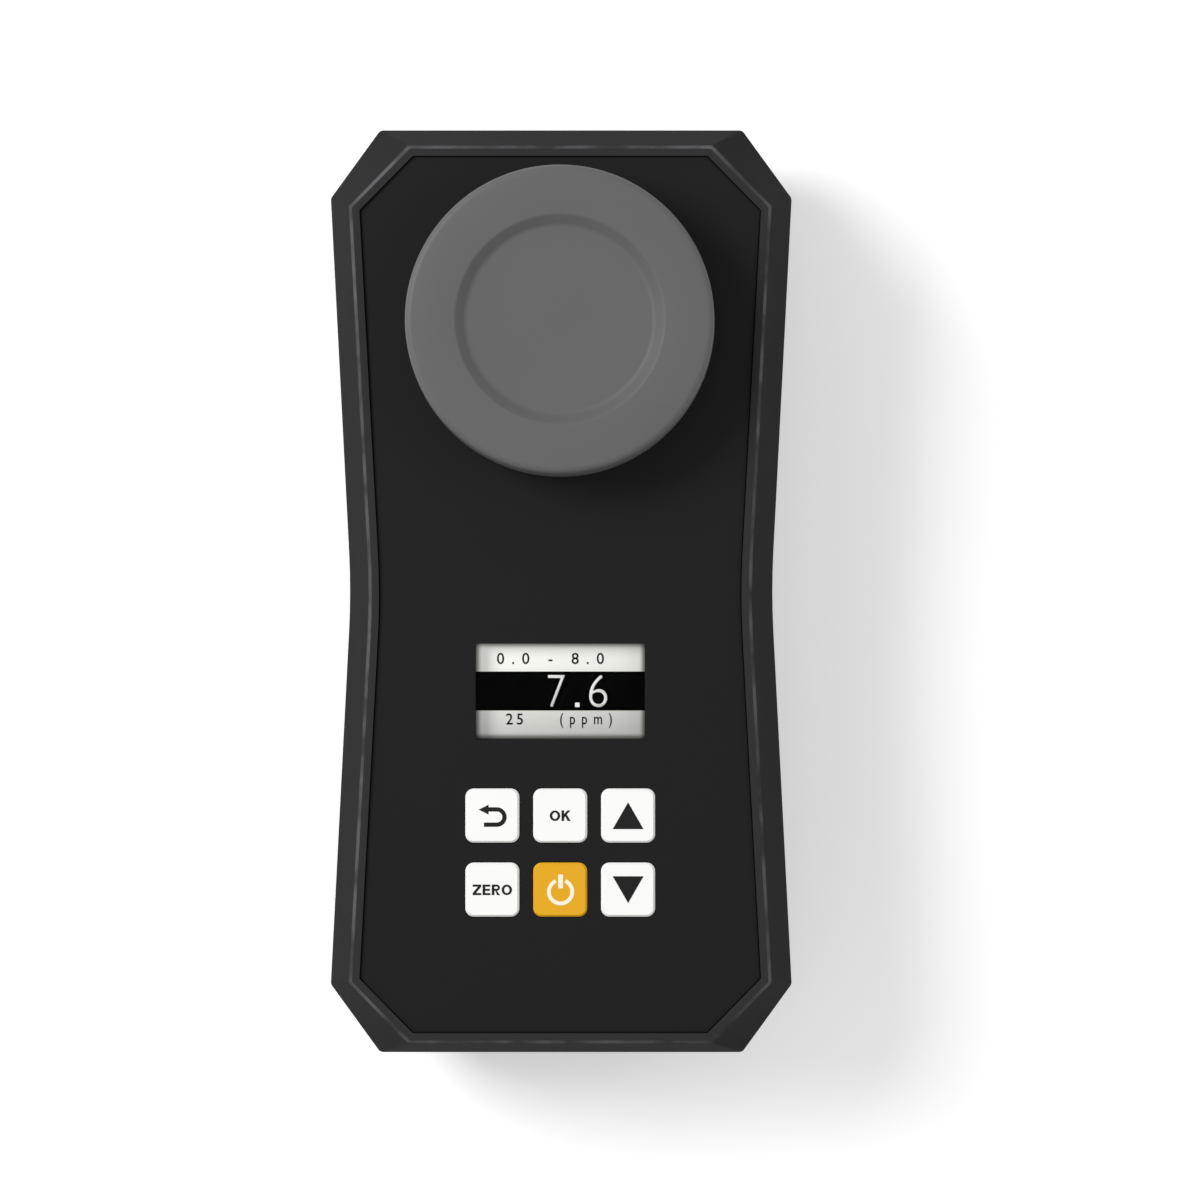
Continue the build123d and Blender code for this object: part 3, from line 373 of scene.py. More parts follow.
def slot_finishes(colours):
    """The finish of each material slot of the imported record."""
    steel = plated("Zinc-plated steel, rolled", linear("b4b6b8"), 0.32)
    return {
        "housing_plastic": housing_plastic(colours),
        # Polyester film, velvet coated: an even, nearly black face with almost no shine
        "panel_film": moulded(
            "Polyester film, velvet coated", colours.panel, 0.22, 0.004, (0.55, 0.63), ior=1.57, shine=0.08
        ),
        # ABS, injection moulded, fine satin: plain mid grey with soft shading at its edges
        "cap_plastic": moulded(
            "ABS, moulded, fine satin", colours.cap, 0.3, 0.006, (0.5, 0.6), ior=1.53, shine=0.3
        ),
        # ABS, injection moulded, matt: black enough to stop stray light
        "dark_plastic": moulded(
            "ABS, moulded, matt black", colours.dark, 0.35, 0.01, (0.6, 0.72), shine=0.12
        ),
        # Polycarbonate, injection moulded, satin: clean white caps with a faint sheen
        "key_white": moulded(
            "Polycarbonate, moulded white", colours.key, 0.25, 0.003, (0.34, 0.44), 0.01, shine=0.3
        ),
        # Polycarbonate, injection moulded, satin: the same sheen in amber
        "key_amber": moulded(
            "Polycarbonate, moulded amber", colours.power_key, 0.25, 0.003, (0.34, 0.44), 0.02, shine=0.15
        ),
        "lens": clear_acrylic(),
        "glass": cell_glass(),
        # Acrylic light guide, moulded: milky white
        "backlight_plastic": moulded("Acrylic, moulded, opal", linear("ecebe0"), 0.5, 0.003, (0.25, 0.35)),
        # Silicone rubber, compression moulded: dull, with a slightly dusty look
        "rubber": moulded("Silicone rubber, moulded", linear("1a1a1a"), 0.3, 0.012, (0.72, 0.85), 0.12),
        "steel": steel,
        # Spring bronze, nickel plated: bright, slightly warm
        "contact_metal": plated("Spring bronze, nickel plated", linear("c9c4b6"), 0.22),
        "battery_jacket": sleeved("PVC sleeve, shrunk, dark blue", "1c2a44"),
        "lead_red": sleeved("PVC sleeve, extruded, red", "b01818"),
        "lead_black": sleeved("PVC sleeve, extruded, black", "141414"),
        "board": circuit_board(),
        # Epoxy, transfer moulded: dark grey, finely pitted
        "chip": moulded("Epoxy, transfer moulded", linear("1f1f21"), 0.15, 0.006, (0.55, 0.65)),
        "radio_can": steel,
        "green_lamp": cast_epoxy("Epoxy, cast, green", "37c45c"),
        "yellow_lamp": cast_epoxy("Epoxy, cast, yellow", "e0c832"),
        "red_lamp": cast_epoxy("Epoxy, cast, red", "d6322a"),
    }


# Modelling

def clear_selection():
    """Leaves edit mode with nothing selected."""
    if bpy.context.object and bpy.context.object.mode != "OBJECT":
        bpy.ops.object.mode_set(mode="OBJECT")
    bpy.ops.object.select_all(action="DESELECT")


def cylinder(radius, low, high, vertices, at=(0.0, 0.0)):
    """An upright cylinder between two heights, left selected in edit mode with nothing picked."""
    clear_selection()
    bpy.ops.mesh.primitive_cylinder_add(
        vertices=vertices, radius=radius, depth=high - low, location=(at[0], at[1], (low + high) / 2)
    )
    bpy.ops.object.transform_apply()
    bpy.ops.object.mode_set(mode="EDIT")
    bpy.ops.mesh.select_all(action="DESELECT")
    return bpy.context.object


def block(size, centre):
    """A box of the given size about its centre, left in object mode."""
    clear_selection()
    bpy.ops.mesh.primitive_cube_add(size=1.0, location=centre, scale=size)
    bpy.ops.object.transform_apply()
    return bpy.context.object


def pick(kind, group, test):
    """Selects the parts of one kind of the piece in edit mode that pass the test, and no others."""
    bpy.ops.mesh.select_mode(type=kind)
    bpy.ops.mesh.select_all(action="DESELECT")
    shape = bmesh.from_edit_mesh(bpy.context.object.data)
    for part in getattr(shape, group):
        part.select_set(test(part))
    bmesh.update_edit_mesh(bpy.context.object.data)


def pick_faces(test):
    """Selects the faces whose centre and normal pass the test."""
    pick("FACE", "faces", lambda face: test(face.calc_center_median(), face.normal))


def pick_edges(test):
    """Selects the edges whose two ends pass the test."""
    pick("EDGE", "edges", lambda edge: all(test(corner.co) for corner in edge.verts))


def pick_points(test):
    """Selects the points that pass the test."""
    pick("VERT", "verts", lambda corner: test(corner.co))


def near(first, second):
    return abs(first - second) < 0.004 * mm


def facing(level, up):
    """A test for the flat faces at a height that face up or down."""
    return lambda centre, normal: near(centre.z, level) and normal.z * up > 0.9


def on_circle(radius, level, at=(0.0, 0.0)):
    """A test for points on an upright circle's edge."""
    return lambda co: near(co.z, level) and near(math.hypot(co.x - at[0], co.y - at[1]), radius)


def push(distance, scale=1.0, centre=None):
    """Extrudes the picked faces upwards or downwards and scales the new ones about a centre."""
    bpy.ops.mesh.extrude_region_move(TRANSFORM_OT_translate={"value": (0.0, 0.0, distance)})
    if scale != 1.0:
        bpy.ops.transform.resize(value=(scale, scale, 1.0), center_override=centre)


def bevel(width, segments):
    bpy.ops.mesh.bevel(offset=width, offset_type="OFFSET", segments=segments, profile=0.5, affect="EDGES")


def shade(angle=30.0):
    """Leaves edit mode and shades the piece smooth across its shallow edges."""
    if bpy.context.object.mode != "OBJECT":
        bpy.ops.object.mode_set(mode="OBJECT")
    bpy.ops.object.shade_smooth_by_angle(angle=math.radians(angle))


def join(pieces):
    """One object from several, named after the first."""
    clear_selection()
    for piece in pieces:
        piece.select_set(True)
    bpy.context.view_layer.objects.active = pieces[0]
    bpy.ops.object.join()
    return bpy.context.object


def tidy_normals(piece):
    """Merges doubles and turns every face outwards."""
    clear_selection()
    piece.select_set(True)
    bpy.context.view_layer.objects.active = piece
    bpy.ops.object.mode_set(mode="EDIT")
    bpy.ops.mesh.select_all(action="SELECT")
    bpy.ops.mesh.remove_doubles(threshold=0.001 * mm)
    bpy.ops.mesh.normals_make_consistent(inside=False)
    bpy.ops.object.mode_set(mode="OBJECT")


def hand_over(piece, name, materials, body, replaced=()):
    """Names a finished piece, gives it its finish and lets it ride on its body."""
    clear_selection()
    piece.select_set(True)
    bpy.context.view_layer.objects.active = piece
    bpy.ops.object.transform_apply()
    piece.name = name
    piece.data.name = name
    if not piece.data.materials:
        for material in materials:
            piece.data.materials.append(material)
    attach(piece, body)
    if replaced:
        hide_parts(*replaced)
    return piece


def copied(piece, turn, place):
    """A copy with its own mesh, turned and moved to a place that is kept in the mesh."""
    twin = piece.copy()
    twin.data = piece.data.copy()
    bpy.context.scene.collection.objects.link(twin)
    twin.data.transform(Matrix.Translation(place) @ turn)
    return twin


def around(count, circle, centre, start=0.0):
    """Places evenly round an upright axis."""
    angles = [math.radians(start + 360.0 * i / count) for i in range(count)]
    return [(centre[0] + circle * math.cos(a), centre[1] + circle * math.sin(a)) for a in angles]


def mirrored(places):
    return [(side * x, y) for x, y in places for side in (1, -1)]


def chamber_axis():
    low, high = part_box("light_cap")
    return ((low.x + high.x) / 2, (low.y + high.y) / 2)


# Light cap

class PHOTOMETER_OT_light_cap(bpy.types.Operator):
    """Shape the light cap: a drafted cup with a dished top and six guiding ribs inside"""

    bl_idname = "photometer.light_cap"
    bl_label = "Light Cap"

    def execute(self, context):
        sizes = context.scene.photometer_sizes
        low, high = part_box("light_cap")
        at = chamber_axis()
        radius = (high.x - low.x) / 2
        top_radius = radius - sizes.cap_draft
        inner = radius - sizes.cap_wall
        plate = high.z - sizes.cap_plate
        dish_z = high.z - sizes.dish_depth
        dish_floor = sizes.dish_radius - sizes.dish_slope
        cap = cylinder(radius, low.z, high.z, 180, at)
        centre = (at[0], at[1], high.z)
        pick_faces(facing(high.z, 1))
        bpy.ops.transform.resize(value=(top_radius / radius,) * 2 + (1.0,), center_override=centre)
        bpy.ops.mesh.inset(thickness=top_radius - sizes.dish_radius, depth=0.0)
        push(-sizes.dish_depth, dish_floor / sizes.dish_radius, centre)
        pick_faces(facing(low.z, -1))
        bpy.ops.mesh.inset(thickness=sizes.cap_wall, depth=0.0)
        push(plate - low.z)
        self.round_edges(sizes, at, top_radius, dish_floor, high.z, dish_z)
        bpy.ops.object.mode_set(mode="OBJECT")
        ribs = self.ribs(sizes, at, inner, low.z + sizes.rib_lead, plate)
        cap = join([cap] + ribs)
        shade()
        finishes = [bpy.data.materials["ABS, moulded, fine satin"]]
        hand_over(cap, "grey_light_cap", finishes, "cap", ["light_cap"])
        return {"FINISHED"}

    def round_edges(self, sizes, at, top_radius, dish_floor, top, dish_z):
        """Rounds the cap's top edge and softens both edges of the dish."""
        brim_edge = 0.25 * mm
        floor_edge = 0.5 * mm
        inside = sizes.dish_radius + sizes.dish_slope / 2
        pick_edges(on_circle(top_radius, top, at))
        bevel(sizes.cap_edge, 8)
        pick_edges(lambda co: near(co.z, top) and math.hypot(co.x - at[0], co.y - at[1]) < inside)
        bevel(brim_edge, 3)
        pick_edges(on_circle(dish_floor, dish_z, at))
        bevel(floor_edge, 4)

    def ribs(self, sizes, at, inner, low, high):
        """Six ribs that reach a little into the skirt, tapered at their lower ends."""
        count = 6
        taper = 0.6
        reach = 0.5 * mm
        deep = inner - sizes.rib_bore + reach
        ribs = []
        for x, y in around(count, sizes.rib_bore + deep / 2, (0.0, 0.0)):
            rib = block((deep, sizes.rib_width, high - low), (0.0, 0.0, (low + high) / 2))
            bpy.ops.object.mode_set(mode="EDIT")
            pick_faces(facing(low, -1))
            bpy.ops.transform.resize(value=(taper, taper, 1.0), center_override=(deep / 2, 0.0, low))
            bpy.ops.object.mode_set(mode="OBJECT")
            turn = Matrix.Rotation(math.atan2(y, x), 4, "Z")
            rib.data.transform(Matrix.Translation((at[0] + x, at[1] + y, 0.0)) @ turn)
            ribs.append(rib)
        return ribs


# Screws

# Radii and lengths in millimetres, and the thread's root as a share of its crest
screw_sizes = {
    "M3": {"shank": 1.5, "head": 2.75, "head_height": 2.4, "pitch": 0.5},
    "M2.5": {"shank": 1.25, "head": 2.1, "head_height": 1.2, "pitch": 0.45},
    "M2": {"shank": 1.0, "head": 1.85, "head_height": 1.4, "pitch": 0.4},
}
thread_root = 0.86
neck = 0.3
point = 1.0
recess_turn = 37.0


class PHOTOMETER_OT_screws(bpy.types.Operator):
    """Model each size of cross-recess screw once and set copies in their places"""

    bl_idname = "photometer.screws"
    bl_label = "Screws"

    def execute(self, context):
        at = chamber_axis()
        for node, size, places, up, body in (
            ("housing_screws", "M3", mirrored([(27.0, 70.0), (27.0, 9.5), (27.0, -70.0)]), True, "housing"),
            ("battery_cover_screws", "M2.5", mirrored([(17.0, -1.0), (17.0, -63.0)]), True, "housing"),
            ("board_screws", "M2.5", mirrored([(20.0, -62.0), (28.0, 57.0)]), True, "housing"),
            ("chamber_screws", "M2.5", around(4, 20.5, (at[0] / mm, at[1] / mm), 45.0), True, "housing"),
            ("retainer_screws", "M2", around(3, 18.85, (at[0] / mm, at[1] / mm)), False, "housing"),
            ("cap_screws", "M2", around(3, 19.2, (at[0] / mm, at[1] / mm), 90.0), True, "cap"),
        ):
            self.set_screws(node, size, places, up, body)
        return {"FINISHED"}

    def set_screws(self, node, size, places, up, body):
        """Puts one screw in each place of a CAD node that holds several."""
        low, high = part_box(node)
        values = screw_sizes[size]
        reach = (high.z - low.z) / mm - values["head_height"]
        seat = (low.z + values["head_height"] * mm) if up else (high.z - values["head_height"] * mm)
        first = self.screw(values, reach)
        turn = Matrix.Identity(4) if up else Matrix.Rotation(math.pi, 4, "X")
        finishes = [bpy.data.materials["Zinc-plated steel, rolled"]]
        for number, (x, y) in enumerate(places, 1):
            spin = Matrix.Rotation(math.radians(recess_turn * number), 4, "Z")
            twin = copied(first, spin @ turn, (x * mm, y * mm, seat))
            name = f"{node[:-1]}_{number}"
            hand_over(twin, name, finishes, body, [node])
        bpy.data.objects.remove(first)

    def screw(self, values, reach):
        """A pan head with a cross recess under the seat at zero, and a threaded shank above it."""
        head, height, shank = (values[key] * mm for key in ("head", "head_height", "shank"))
        screw = cylinder(head, -height, 0.0, 40)
        pick_faces(facing(0.0, 1))
        bpy.ops.mesh.inset(thickness=head - shank * thread_root, depth=0.0)
        push(neck * mm)
        self.thread(values["pitch"] * mm, (reach - neck - point) * mm)
        push(point * mm, 0.55, (0.0, 0.0, 0.0))
        pick_edges(on_circle(head, -height))
        bevel(min(0.5 * height, 0.45 * mm), 4)
        bpy.ops.object.mode_set(mode="OBJECT")
        self.recess(screw, head, height)
        tidy_normals(screw)
        shade()
        return screw

    def thread(self, pitch, length):
        """Rings at the thread's pitch, as crests and roots."""
        count = int(length / pitch)
        for _ in range(count):
            push(pitch / 2, 1 / thread_root, (0.0, 0.0, 0.0))
            push(pitch / 2, thread_root, (0.0, 0.0, 0.0))
        rest = length - count * pitch
        if rest > 0.01 * mm:
            push(rest)

    def recess(self, screw, head, height):
        """Cuts the tapered cross into the head, with arms sized as shares of the head."""
        arm_size = (head * 1.15, head * 0.26, height * 0.9)
        arms = []
        for quarter in range(2):
            arm = block(arm_size, (0.0, 0.0, -height))
            bpy.ops.object.mode_set(mode="EDIT")
            pick_faces(lambda centre, normal: normal.z > 0.9)
            bpy.ops.transform.resize(value=(0.45, 0.7, 1.0), center_override=(0.0, 0.0, 0.0))
            bpy.ops.object.mode_set(mode="OBJECT")
            arm.data.transform(Matrix.Rotation(quarter * math.pi / 2, 4, "Z"))
            arms.append(arm)
        cutter = join(arms)
        clear_selection()
        screw.select_set(True)
        bpy.context.view_layer.objects.active = screw
        cut = screw.modifiers.new("Cross", "BOOLEAN")
        cut.operation = "DIFFERENCE"
        cut.solver = "EXACT"
        cut.use_self = True
        cut.object = cutter
        bpy.ops.object.modifier_apply(modifier=cut.name)
        bpy.data.objects.remove(cutter)


# Feet

class PHOTOMETER_OT_feet(bpy.types.Operator):
    """Shape the rubber feet: discs with a rounded lower edge and a shallow dimple"""

    bl_idname = "photometer.feet"
    bl_label = "Feet"

    def execute(self, context):
        sizes = context.scene.photometer_sizes
        finishes = [bpy.data.materials["Silicone rubber, moulded"]]
        lip = 0.55
        dimple = 0.3 * mm
        for number in range(1, 5):
            node = f"foot_{number}"
            low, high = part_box(node)
            at = ((low.x + high.x) / 2, (low.y + high.y) / 2)
            radius = (high.x - low.x) / 2
            foot = cylinder(radius, low.z, high.z, 64, at)
            pick_faces(facing(low.z, -1))
            bpy.ops.mesh.inset(thickness=radius * lip, depth=0.0)
            push(dimple, 0.9, (at[0], at[1], low.z))
            pick_edges(on_circle(radius, low.z, at))
            bevel(sizes.foot_edge, 4)
            shade()
            hand_over(foot, f"rubber_foot_{number}", finishes, "housing", [node])
        return {"FINISHED"}


# Batteries

class PHOTOMETER_OT_batteries(bpy.types.Operator):
    """Shape the dry cells: a sleeve with rolled shoulders, bare ends and a raised positive nub"""

    bl_idname = "photometer.batteries"
    bl_label = "Batteries"

    def execute(self, context):
        jacket = bpy.data.materials["PVC sleeve, shrunk, dark blue"]
        steel = bpy.data.materials["Zinc-plated steel, rolled"]
        for number in range(1, 4):
            node = f"battery_{number}"
            low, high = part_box(node)
            radius = (high.x - low.x) / 2
            length = high.y - low.y
            cell = self.cell(radius, length)
            cell.data.materials.append(jacket)
            cell.data.materials.append(steel)
            self.bare_ends(cell, radius, length)
            quarter = -math.pi / 2 if number % 2 else math.pi / 2
            middle = (low + high) / 2
            cell.data.transform(Matrix.Translation(middle) @ Matrix.Rotation(quarter, 4, "X"))
            hand_over(cell, f"dry_cell_{number}", [], "housing", [node])
        return {"FINISHED"}

    def cell(self, radius, length):
        """One cell about its own middle, with the nub at the top."""
        lip = 0.9 * mm
        sunk = 0.3 * mm
        nub_inset = radius - 2.8 * mm
        nub_height = 0.8 * mm
        half = length / 2
        shoulder = half - nub_height
        cell = cylinder(radius, -half, shoulder, 48)
        pick_faces(facing(shoulder, 1))
        bpy.ops.mesh.inset(thickness=lip, depth=0.0)
        push(-sunk)
        bpy.ops.mesh.inset(thickness=nub_inset, depth=0.0)
        push(nub_height + sunk)
        pick_faces(facing(-half, -1))
        bpy.ops.mesh.inset(thickness=lip, depth=0.0)
        push(sunk / 2)
        pick_edges(lambda co: near(math.hypot(co.x, co.y), radius) and abs(co.z) > shoulder - 0.01 * mm)
        bevel(0.5 * mm, 3)
        shade()
        return cell

    def bare_ends(self, cell, radius, length):
        """Gives the ends inside the sleeve's lips the bare metal."""
        bpy.ops.object.mode_set(mode="EDIT")
        inside = radius - 0.95 * mm
        ends = length / 2 - 1.5 * mm
        pick_faces(
            lambda centre, normal: abs(centre.z) > ends and math.hypot(centre.x, centre.y) < inside
        )
        cell.active_material_index = 1
        bpy.ops.object.material_slot_assign()
        bpy.ops.object.mode_set(mode="OBJECT")


# Legends

def key_place(name):
    """The middle of a key's top."""
    low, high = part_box(name)
    return Vector(((low.x + high.x) / 2, (low.y + high.y) / 2, high.z))


def offset(x, y):
    """A step across the face, from millimetres."""
    return Vector((x * mm, y * mm, 0.0))


def flat_shape(points, place):
    """A flat face through points given in millimetres from a place."""
    clear_selection()
    bpy.ops.mesh.primitive_circle_add(vertices=len(points), radius=1.0, fill_type="NGON")
    shape = bpy.context.object
    for vertex, (x, y) in zip(shape.data.vertices, points):
        vertex.co = offset(x, y) + place
    return shape


def flat_bar(low, high, place):
    """A flat rectangle between two corners."""
    return flat_shape([low, (high[0], low[1]), high, (low[0], high[1])], place)


def flat_band(start, angle, inner, outer, centre, place, steps=32):
    """A flat band round a centre, spun from its first edge."""
    clear_selection()
    bpy.ops.mesh.primitive_plane_add(size=1.0)
    bpy.ops.object.mode_set(mode="EDIT")
    pick_points(lambda co: co.y < 0)
    bpy.ops.mesh.delete(type="VERT")
    middle = offset(*centre) + place
    shape = bmesh.from_edit_mesh(bpy.context.object.data)
    for corner, radius in zip(shape.verts, (inner, outer)):
        turn = Matrix.Rotation(math.radians(start), 3, "Z")
        corner.co = middle + turn @ Vector((radius * mm, 0.0, 0.0))
    bmesh.update_edit_mesh(bpy.context.object.data)
    bpy.ops.mesh.select_all(action="SELECT")
    # With no window, spin turns clockwise for a positive angle
    bpy.ops.mesh.spin(steps=steps, angle=-math.radians(angle), center=middle, axis=(0.0, 0.0, 1.0))
    bpy.ops.object.mode_set(mode="OBJECT")
    return bpy.context.object


def flat_ring(half, side, end, place):
    """A flat oval ring with its lower left corner at a place, thinner at its ends than at its sides."""
    clear_selection()
    centre = place + offset(*half)
    bpy.ops.mesh.primitive_circle_add(vertices=40, radius=mm, location=centre)
    bpy.ops.object.transform_apply()
    bpy.ops.object.mode_set(mode="EDIT")
    bpy.ops.mesh.select_all(action="SELECT")
    bpy.ops.transform.resize(value=(half[0], half[1], 1.0), center_override=centre)
    bpy.ops.mesh.extrude_edges_move()
    inner = (1 - side / half[0], 1 - end / half[1], 1.0)
    bpy.ops.transform.resize(value=inner, center_override=centre)
    bpy.ops.object.mode_set(mode="OBJECT")
    return bpy.context.object


def lettering(text, place, high, wide=None, spacing=1.0, weight=0.0):
    """Flat letters of a given height and width, centred on their place."""
    clear_selection()
    bpy.ops.object.text_add()
    words = bpy.context.object
    words.data.body = text
    words.data.space_character = spacing
    words.data.offset = weight
    bpy.ops.object.convert(target="MESH")
    words = bpy.context.object
    xs = [v.co.x for v in words.data.vertices]
    ys = [v.co.y for v in words.data.vertices]
    scale_y = high / (max(ys) - min(ys))
    scale_x = wide / (max(xs) - min(xs)) if wide else scale_y
    centre = Matrix.Translation((-(max(xs) + min(xs)) / 2, -(max(ys) + min(ys)) / 2, 0.0))
    words.data.transform(Matrix.Translation(place) @ Matrix.Diagonal((scale_x, scale_y, 1.0, 1.0)) @ centre)
    return words


def raised(pieces, thickness):
    """One piece from flat shapes, given their thickness upwards."""
    piece = join(pieces)
    bpy.ops.object.mode_set(mode="EDIT")
    bpy.ops.mesh.select_all(action="SELECT")
    bpy.ops.mesh.remove_doubles(threshold=0.001 * mm)
    bpy.ops.mesh.normals_make_consistent(inside=False)
    bpy.ops.mesh.extrude_region_move(TRANSFORM_OT_translate={"value": (0.0, 0.0, thickness)})
    bpy.ops.object.mode_set(mode="OBJECT")
    tidy_normals(piece)
    return piece


# Upright strokes of the keys' bold letters and the gap between letters, in millimetres
stem = 0.46
letter_gap = 0.24


class PHOTOMETER_OT_legends(bpy.types.Operator):
    """Print the keys' legends: a return arrow, two words, two triangles and a power sign"""

    bl_idname = "photometer.legends"
    bl_label = "Key Legends"

    def execute(self, context):
        sizes = context.scene.photometer_sizes
        high = sizes.letter_height / mm
        self.print_on("key_back", self.return_arrow(key_place("key_back")), sizes)
        self.print_on("key_ok", self.word("OK", high, key_place("key_ok")), sizes)
        self.print_on("key_zero", self.word("ZERO", high, key_place("key_zero")), sizes)
        up = [(-2.73, -2.37), (2.73, -2.37), (0.0, 2.37)]
        self.print_on("key_up", [flat_shape(up, key_place("key_up"))], sizes)
        down = [(-2.73, 2.4), (2.73, 2.4), (0.0, -2.34)]
        self.print_on("key_down", [flat_shape(down, key_place("key_down"))], sizes)
        self.print_on("key_power", self.power_sign(key_place("key_power")), sizes, "Pad ink, cream")
        return {"FINISHED"}

    def print_on(self, key, shapes, sizes, ink="Pad ink, black"):
        """Raises the flat shapes by the ink's thickness and lets them ride on their key."""
        legend = raised(shapes, sizes.ink)
        hand_over(legend, f"legend_{key[4:]}", [bpy.data.materials[ink]], key)

    def word(self, text, high, place):
        """Bold letters side by side, centred on the key."""
        letters = {
            "Z": (1.52, self.letter_z),
            "E": (1.38, self.letter_e),
            "R": (1.5, self.letter_r),
            "O": (1.84, self.letter_o),
            "K": (1.62, self.letter_k),
        }
        start = -(sum(letters[letter][0] for letter in text) + letter_gap * (len(text) - 1)) / 2
        shapes = []
        for letter in text:
            wide, draw = letters[letter]
            shapes += draw(wide, high, place + offset(start, -high / 2))
            start += wide + letter_gap
        return shapes

    def letter_z(self, wide, high, place):
        bar = 0.38
        slant = 0.58
        half = [(0.0, 0.0), (wide, 0.0), (wide, bar), (slant, bar), (wide, high - bar)]
        return [flat_shape(half + [(wide - x, high - y) for x, y in half], place)]

    def letter_e(self, wide, high, place):
        bar = 0.37
        middle = (high - bar) / 2
        arms = ((0.0, wide), (middle, wide - 0.1), (high - bar, wide - 0.03))
        return [flat_bar((0.0, 0.0), (stem, high), place)] + [
            flat_bar((stem, y), (reach, y + bar), place) for y, reach in arms
        ]

    def letter_r(self, wide, high, place):
        bar = 0.36
        low = high * 0.41
        outer = (high - low) / 2
        bend_x = wide - 0.06 - outer
        leg = [(0.6, low), (bend_x, low), (wide, 0.0), (wide - 0.54, 0.0)]
        return [
            flat_bar((0.0, 0.0), (stem, high), place),
            flat_bar((stem, high - bar), (bend_x, high), place),
            flat_bar((stem, low), (bend_x, low + bar), place),
            flat_band(-90.0, 180.0, outer - bar, outer, (bend_x, low + outer), place, 16),
            flat_shape(leg, place),
        ]

    def letter_o(self, wide, high, place):
        return [flat_ring((wide / 2, high / 2), 0.45, 0.37, place)]

    def letter_k(self, wide, high, place):
        upper = [(stem, 0.31 * high), (stem, 0.64 * high), (1.02, high), (wide - 0.03, high)]
        lower = [(0.92, 0.62 * high), (wide, 0.0), (wide - 0.55, 0.0), (0.66, 0.44 * high)]
        return [flat_bar((0.0, 0.0), (stem, high), place), flat_shape(upper + lower, place)]

    def return_arrow(self, place):
        head = flat_shape([(-0.67, 0.2), (-0.67, 1.95), (-2.42, 1.08)], place)
        upper = flat_bar((-0.67, 0.74), (0.8, 1.5), place)
        lower = flat_bar((-1.48, -1.96), (0.8, -1.2), place)
        bend = flat_band(-90.0, 180.0, 0.97, 1.73, (0.8, -0.23), place)
        return [head, upper, lower, bend]

    def power_sign(self, place):
        gap = 24.0
        ring = flat_band(90.0 + gap, 360.0 - 2 * gap, 1.73, 2.4, (0.07, -0.34), place, 48)
        bar = flat_bar((-0.36, 0.28), (0.5, 2.72), place)
        return [ring, bar]


# Display

class PHOTOMETER_OT_display(bpy.types.Operator):
    """Draw the display: a dark row with the large figures and a small row above and below it"""

    bl_idname = "photometer.display"
    bl_label = "Display"

    def execute(self, context):
        sizes = context.scene.photometer_sizes
        low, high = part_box("lcd_glass")
        lens_low, lens_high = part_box("display_window")
        level = high.z
        window = Vector(((low.x + high.x) / 2, (low.y + high.y) / 2, level + 0.01 * mm))
        half = (lens_high.x - lens_low.x) / 2
        dark_row = (-3.53, 3.4)
        dark = [flat_bar((-half / mm, dark_row[0]), (half / mm, dark_row[1]), window)]
        above = window + Vector((0.0, 0.0, 2 * sizes.ink))
        self.draw_on_glass(dark, sizes, "display_dark_row", "driven dark")
        self.draw_on_glass(self.figures(above, sizes), sizes, "display_figures", "clear figures")
        self.draw_on_glass(self.rows(window, sizes), sizes, "display_small_rows", "driven dark")
        return {"FINISHED"}

    def draw_on_glass(self, shapes, sizes, name, state):
        ink = bpy.data.materials[f"Liquid crystal, {state}"]
        hand_over(raised(shapes, sizes.ink), name, [ink], "housing")

    def figures(self, place, sizes):
        """The reading, each figure in its own cell."""
        high = sizes.figure_height
        thin = -0.016
        seven = lettering("7", place + offset(-0.7, -0.07), high, 3.0 * mm, weight=thin)
        six = lettering("6", place + offset(6.72, -0.07), high, 3.2 * mm, weight=thin)
        point = flat_bar((2.6, -2.92), (3.4, -2.12), place)
        return [seven, point, six]

    def rows(self, place, sizes):
        """The measuring range above and a number with the unit below."""
        high = sizes.row_height
        bold = 0.008
        return [
            lettering("0.0 - 8.0", place + offset(-1.77, 5.72), high, 19.0 * mm, 1.9, bold),
            lettering("25", place + offset(-8.17, -5.05), high, 3.0 * mm, 1.4, bold),
            lettering("(ppm)", place + offset(4.55, -5.3), high * 1.33, 9.2 * mm, 2.0, bold),
        ]


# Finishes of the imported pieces

class PHOTOMETER_OT_finishes(bpy.types.Operator):
    """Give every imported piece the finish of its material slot"""

    bl_idname = "photometer.finishes"
    bl_label = "Finishes"

    def execute(self, context):
        colours = context.scene.photometer_colours
        finishes = slot_finishes(colours)
        for row in frame["record"]["subparts"]:
            self.dress(row["node"], finishes[row["material_slot"]])
        self.dress("lcd_glass", display_glass(colours.display, context.scene.photometer_sizes.lens_lap))
        printed("Pad ink, black", colours.legend)
        printed("Pad ink, cream", colours.pale_legend)
        # Driven liquid crystal: flat and dark, as ink under the glass
        printed("Liquid crystal, driven dark", linear("000000"), 0.0)
        lit = {"Emission Color": (*colours.figures, 1.0), "Emission Strength": 0.3}
        printed("Liquid crystal, clear figures", colours.figures, 0.0, **lit)
        return {"FINISHED"}

    def dress(self, node, material):
        for place in frame["nodes"][node].material_slots:
            place.material = material


# Stage

